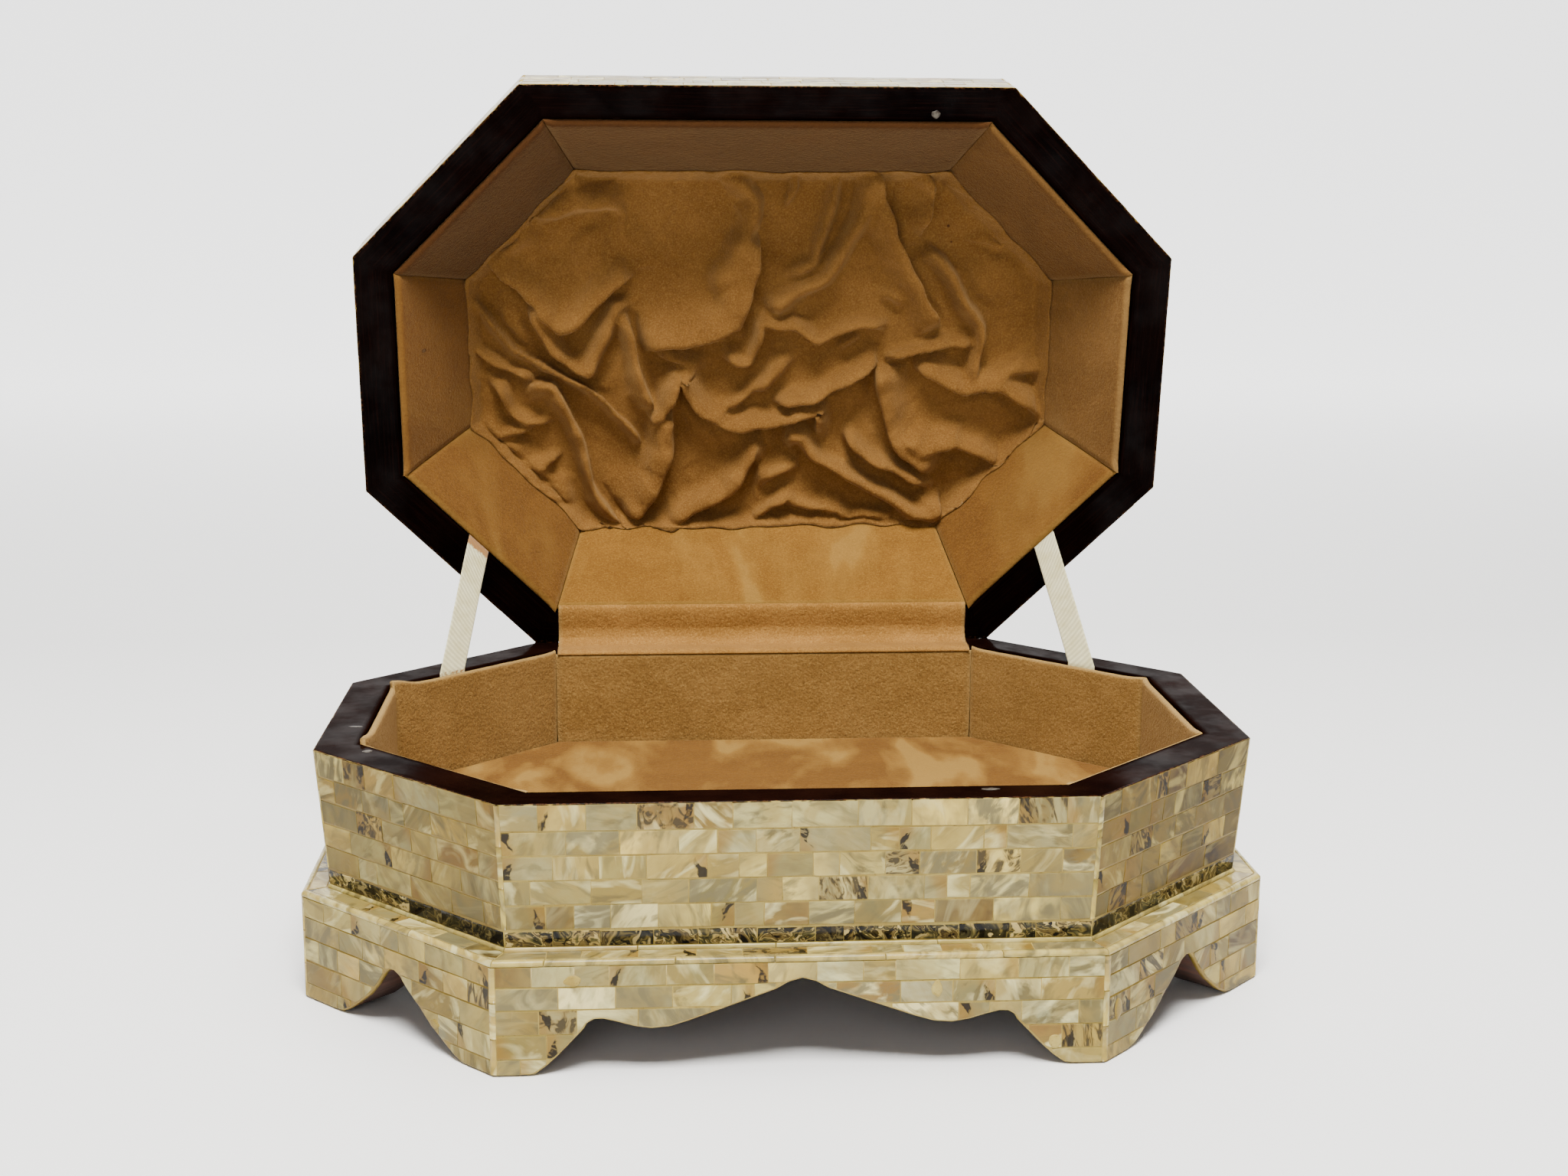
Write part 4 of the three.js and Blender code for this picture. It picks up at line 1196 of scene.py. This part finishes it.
def make_panel():
    nx, ny = 212, 132
    a, b = W - PANEL_EDGE - ENDS, D - PANEL_EDGE
    c = C - PANEL_EDGE * (2 - ROOT2) + ENDS * (ROOT2 - 1)
    corner = math.hypot(c, c)

    def to_border(x, y):
        """How far it is to the ends, to the long sides and to the corners."""
        return a - np.abs(x), b - np.abs(y), (a + b - c - np.abs(x) - np.abs(y)) / ROOT2

    def card_height(inset):
        """Height of the face of the cards, on which the border lies."""
        slant = 0.43  # how much more than its thickness a sloping card takes up
        return HEAD_GAP + (inset - CARD_IN - slant) / (COFFER - CARD_IN - slant) * (COFFER_T - HEAD_GAP)

    v = np.linspace(0, 1, ny + 1)
    run = np.array([0, corner, corner + 2 * (b - c), 2 * corner + 2 * (b - c)])
    side_x = np.interp(v * run[3], run, [a - c, a, a, a - c])
    side_y = np.interp(v * run[3], run, [-b, c - b, b - c, b])
    u = np.linspace(-1, 1, nx + 1)[None, :]
    x = u * side_x[:, None]
    flat_y = -b + 2 * b * v[:, None]
    y = flat_y + (side_y[:, None] - flat_y) * np.abs(u)**3
    edge = np.maximum(np.minimum.reduce(to_border(x, y)), 0)
    noise_at = np.vectorize(lambda px, py, pz: noise.noise((px, py, pz)))
    wx = x + 2.2 * noise_at(x * 0.05, y * 0.05, 3.0)
    wy = y + 2.2 * noise_at(x * 0.05, y * 0.05, 8.0)
    h, lx, ly, dips = fold_field(wx, wy)
    broad = 4.0 * np.abs(noise_at(x * 0.021, y * 0.028, 1.0)) + 1.2 * noise_at(x * 0.05, y * 0.05, 5.0)
    small = 1 - np.abs(noise_at(wx * 0.09, wy * 0.09, 2.0)) * 3.2
    fine = noise_at(x * 0.3, y * 0.3, 4.0)
    dips = dips * (1 - np.clip(h / 5, 0, 0.8))
    h = np.where(h > 9, 9 + (h - 9) * 0.6, h) + broad + 0.7 * np.maximum(small, 0) ** 2 + 0.12 * fine - dips
    h = h * (0.4 + 0.6 * smooth(np.clip(edge / 8, 0, 1)))
    ease = np.clip(edge / 5, 0, 1)
    x, y = x + lx * ease, y + ly * ease
    h[1:-1, 1:-1] = 0.5 * h[1:-1, 1:-1] + 0.125 * (h[:-2, 1:-1] + h[2:, 1:-1] + h[1:-1, :-2] + h[1:-1, 2:])
    t = np.clip(HIDE_T - h, *HIDE_RANGE)
    # the border lies on the feet of the cards, a little out of line
    wob = 1.5 * noise_at(x * 0.07, y * 0.07, 9.0) * np.clip(1 - edge / 5, 0, 1)
    sx, sy = np.sign(x), np.sign(y)
    to_x, to_y, to_c = to_border(x, y)
    on_c = (to_c <= to_x) & (to_c <= to_y)
    x = x + wob * sx * np.where(on_c, 0.7, to_x <= to_y)
    y = y + wob * sy * np.where(on_c, 0.7, to_y < to_x)
    card = card_height(PANEL_EDGE + edge - wob)
    t = np.minimum(t, card - HIDE_GAP)
    t = np.where(edge < 0.01, np.maximum(t, card - 2.6), t)
    x, y, t = settle(x, y, t)
    card = card_height(PANEL_EDGE + np.minimum.reduce(to_border(x, y)))
    t = np.clip(t, SETTLED_RANGE[0], np.minimum(card - HIDE_GAP, SETTLED_RANGE[1]))
    s = Shape()
    # the front of the hide, and its back 1 mm behind
    front, back = ([[s.point((x[j, i], y[j, i], LID + t[j, i] + behind)) for i in range(nx + 1)]
                    for j in range(ny + 1)] for behind in (0.0, 1.0))
    s.grid(front)
    s.grid([row[::-1] for row in back])
    ring = [(j, 0) for j in range(ny)] + [(ny, i) for i in range(nx)] + [(j, nx) for j in range(ny, 0, -1)]
    ring += [(0, i) for i in range(nx, 0, -1)]
    for (j0, i0), (j1, i1) in zip(ring, ring[1:] + ring[:1]):
        s.face((front[j0][i0], back[j0][i0], back[j1][i1], front[j1][i1]))
    for near, far in zip(front, front[1:]):
        for ids in zip(near, near[1:], far[1:], far):
            p, q, r, o = (Vector(s.v[k]) for k in ids)
    ob = s.make(
        "lid_gathered_suede", on_lid, "lid", [GATHERED], recalc=True, replaces=["lid_gathered_panel"],
    )


# ---- strip and ribbons ----


def make_strip():
    s = Shape()
    thick, round_r, nx = 0.7, 2.7, 90
    box_z, lid_z = RIM - 1.0 + 0.1, LID + 1.0 - 0.1
    # places behind the rim's inner edge, and how far the ends tuck in
    tail = [(18.6, 1.5), (17.2, 0.5), (WALL, 0), (11, 0), (8, 0), (round_r + 3.2, 0)]
    path = [Vector((D - y, box_z - down)) for y, down in tail]
    for share, more in ((0.22, 0.25), (0.36, 0), (0.5, 0), (0.64, 0), (0.78, 0.25)):
        a, r = math.pi - OPEN * share, round_r + more
        path.append(Vector((D + r * math.cos(a), HZ + r * math.sin(a))))
    path += [lid_mm((0, D - y, lid_z + up)).yz for y, up in tail[::-1]]
    outer = []
    for i, p in enumerate(path):
        t = (path[min(len(path) - 1, i + 1)] - path[max(0, i - 1)]).normalized()
        outer.append(p + Vector((-t.y, t.x)) * thick)
    rows = []
    for i in range(nx + 1):
        x = -STRIP + 2 * STRIP * i / nx
        # painted highlight on the cut ends of the strip
        pale = 0.6 if min(x + STRIP, STRIP - x) < 0.8 else 0.0
        row = [s.point((x, p.x, p.y), pale=0.0) for p in path]
        for j, q in reversed(list(enumerate(outer))):
            w = 0.16 * noise.noise((x * 0.03, j * 0.4, 7.0)) + 0.07 * noise.noise((x * 0.11, j * 0.7, 2.0))
            row.append(s.point((x, q.x - w, q.y + w), pale=pale))
        rows.append(row)
    s.grid(rows, closed_u=True)
    s.caps(rows)
    ob = s.make("hinge_suede_strip", on_box, None, [LIGHT], recalc=True, replaces=["hinge_strip"])
    start, end = on_box((0, D - round_r - 3.4, box_z)), on_lid((0, D - round_r - 3.4, lid_z))
    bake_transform(ob)
    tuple(start)
    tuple(end)
    length = sum((q - p).length for p, q in zip(path, path[1:]))


# Across the ribbon, in shares of half its width: place and half the thickness, with a fuller selvedge.
RIBBON_ACROSS = [(-1.0, 0.12), (-0.93, 0.33), (-0.8, 0.25), (-0.4, 0.25), (0.0, 0.25), (0.4, 0.25), (0.8, 0.25),
                 (0.93, 0.33), (1.0, 0.12)]


def make_ribbon(sign, name, node):
    s = Shape()
    total = sum(octa(WALL + 0.4, ENDS)[3])
    by, ty = D - 61.3, D - 52.0
    bottom = Vector((sign * (total - by), by, RIM + 0.4))
    top = lid_mm((sign * (total - ty), ty, LID - 0.4))
    run, length = (top - bottom).normalized(), (top - bottom).length
    c, sn = math.cos(OPEN), math.sin(OPEN)
    along_box, along_lid = Vector((-sign, 1, 0)).normalized(), Vector((-sign, c, -sn)).normalized()
    out_box, out_lid = Vector((sign, 1, 0)).normalized(), Vector((sign, c, -sn)).normalized()
    into_lid = Vector((0, sn, c))
    face = along_box.cross(run).normalized()
    if face.dot(out_box) < 0:
        face = -face
    # centre, direction across, direction out and distance along of each station
    stations = [(bottom + Vector((0, 0, z)), along_box, out_box, z) for z in (-8.0, -0.6)]
    for i in range(25):
        t = i / 24
        normal = {0: (out_box + face).normalized(), 24: (out_lid + face).normalized()}.get(i, face)
        bow = 0.35 * math.sin(math.pi * t) * math.sin(2.3 * t + sign)
        along = along_box.lerp(along_lid, t).normalized()
        stations.append((bottom.lerp(top, t) + face * bow, along, normal, length * t))
    stations += [(top + into_lid * z, along_lid, out_lid, length + z) for z in (0.6, 8)]
    rows = []
    for centre, along, normal, at in stations:
        lean = along.dot(run)
        width = 6.0 / math.sqrt(1 - lean * lean)
        t = max(0.0, min(1.0, at / length))
        # glue has stained both ends of the left one
        stain = max(0.0, (t - 0.9) * 11, (0.04 - t) * 12) if sign < 0 else 0.0
        row = []
        for side, line in ((1, RIBBON_ACROSS), (-1, RIBBON_ACROSS[::-1])):
            for a, thick in line:
                q = centre + along * (width * a) + normal * (side * thick)
                row.append(s.point(q, along=(a * 6, at, 0), stain=stain))
        rows.append(row)
    s.grid(rows, closed_u=True)
    s.caps(rows)
    ob = s.make(name, on_box, None, [RIBBON], recalc=True, replaces=[node])
    on_box(bottom)
    on_box(top)
    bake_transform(ob)


# Dents and filler spots in the varnish: x, y, size both ways, seed.
BOX_MARKS = [(-170.8, -60.6, 2.2, 2.0, 1.0), (72.8, -125.7, 4.2, 1.5, 2.0), (-181, -22, 3.2, 1.1, 3.0)]
LID_MARKS = [(77.4, -124, 2.2, 2.0, 4.0)]

make_plinth()
make_walls()
make_lid_shell()
make_rim("box_rim_varnish", on_box, "box", RIM, 1, 3, 0.03, [VARNISH, FILLER], BOX_MARKS)
make_rim("lid_rim_varnish", on_lid, "lid", LID, -1, 8, 0.6, [LID_VARNISH, FILLER], LID_MARKS)
make_lining()
make_lid_lining()
make_panel()
make_strip()
make_ribbon(-1, "ribbon_left", "ribbon_stay_left")
make_ribbon(1, "ribbon_right", "ribbon_stay_right")

LEAVES = [f"hinge_{body}_leaf_{side}" for body in ("box", "lid") for side in ("left", "right")]
for mat, nodes in ((WOOD, ["plinth_frame", "box_carcass", "lid_carcass"]), (BRASS, LEAVES)):
    for node in nodes:
        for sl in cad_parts[node].material_slots:
            sl.material = mat

# ---- floor, light and camera ----


def make_stage():
    """A pale floor that curves up into a wall behind, and a studio that is brighter on that side."""
    bend = [(2.2 + 1.6 * math.sin(a), 1.6 - 1.6 * math.cos(a)) for a in np.linspace(0, math.pi / 2, 13)]
    rows = [(-5, 0), (1.4, 0), *bend, (3.8, 5)]
    me = bpy.data.meshes.new("floor")
    verts = [(x, y, z) for y, z in rows for x in (-6, 6)]
    me.from_pydata(verts, [], [(2 * i, 2 * i + 1, 2 * i + 3, 2 * i + 2) for i in range(len(rows) - 1)])
    me.polygons.foreach_set("use_smooth", [True] * len(me.polygons))
    ob = bpy.data.objects.new("floor", me)
    bpy.context.scene.collection.objects.link(ob)
    n = Nodes("floor")
    back = n.xyz(n.add("TexCoord", out="Object"))[1]
    n.set(Base_Color=(250, 250, 249), Roughness=0.9)
    n.set(Emission_Color=(1, 1, 1, 1), Emission_Strength=n.span(back, 0.6, 2.4, 0.0, 1.8))
    me.materials.append(n.mat)
    world = bpy.data.worlds.new("studio")
    bpy.context.scene.world = world
    world.use_nodes = True
    bg = world.node_tree.nodes["Background"]
    bg.inputs["Color"].default_value = (1.0, 0.985, 0.96, 1)
    bg.inputs["Strength"].default_value = 0.2


def area_light(name, at, look, size, power, colour=(1, 1, 1)):
    li = bpy.data.lights.new(name, "AREA")
    li.shape = "RECTANGLE"
    li.size, li.size_y = size
    li.energy = power
    li.color = colour
    ob = bpy.data.objects.new(name, li)
    ob.location = at
    ob.rotation_euler = (Vector(look) - Vector(at)).to_track_quat("-Z", "Y").to_euler()
    bpy.context.scene.collection.objects.link(ob)


# The camera, fitted to the photograph: lens in millimetres, place in metres from the middle of the box, angles.
LENS = 47.2975
CAMERA_AT = (-0.055545, -0.874405 + OY * MM, 0.332256)
YAW, PITCH, ROLL = (math.radians(x) for x in (3.7415, 11.190, 0.2525))


def make_camera():
    cam = bpy.data.cameras.new("camera")
    cam.lens = LENS
    cam.sensor_width = 36
    cam.clip_start = 0.01
    fwd = Vector((math.sin(YAW) * math.cos(PITCH), math.cos(YAW) * math.cos(PITCH), -math.sin(PITCH)))
    right = Vector((math.cos(YAW), -math.sin(YAW), 0))
    up = right.cross(fwd)
    r = right * math.cos(ROLL) + up * math.sin(ROLL)
    u = up * math.cos(ROLL) - right * math.sin(ROLL)
    ob = bpy.data.objects.new("camera", cam)
    ob.matrix_world = Matrix((*([r[i], u[i], -fwd[i], CAMERA_AT[i]] for i in range(3)), (0, 0, 0, 1)))
    bpy.context.scene.collection.objects.link(ob)
    bpy.context.scene.camera = ob


make_stage()
area_light("key", (-0.05, -0.85, 1.8), (0, 0.02, 0.15), (0.7, 0.7), 88, (1, 0.98, 0.95))
area_light("fill", (-0.4, -1.8, 0.7), (0, 0, 0.15), (1.0, 0.8), 5, (1, 0.99, 0.97))
area_light("top", (0.1, 0.1, 2.2), (0, 0, 0.1), (1.4, 1.4), 34)
make_camera()
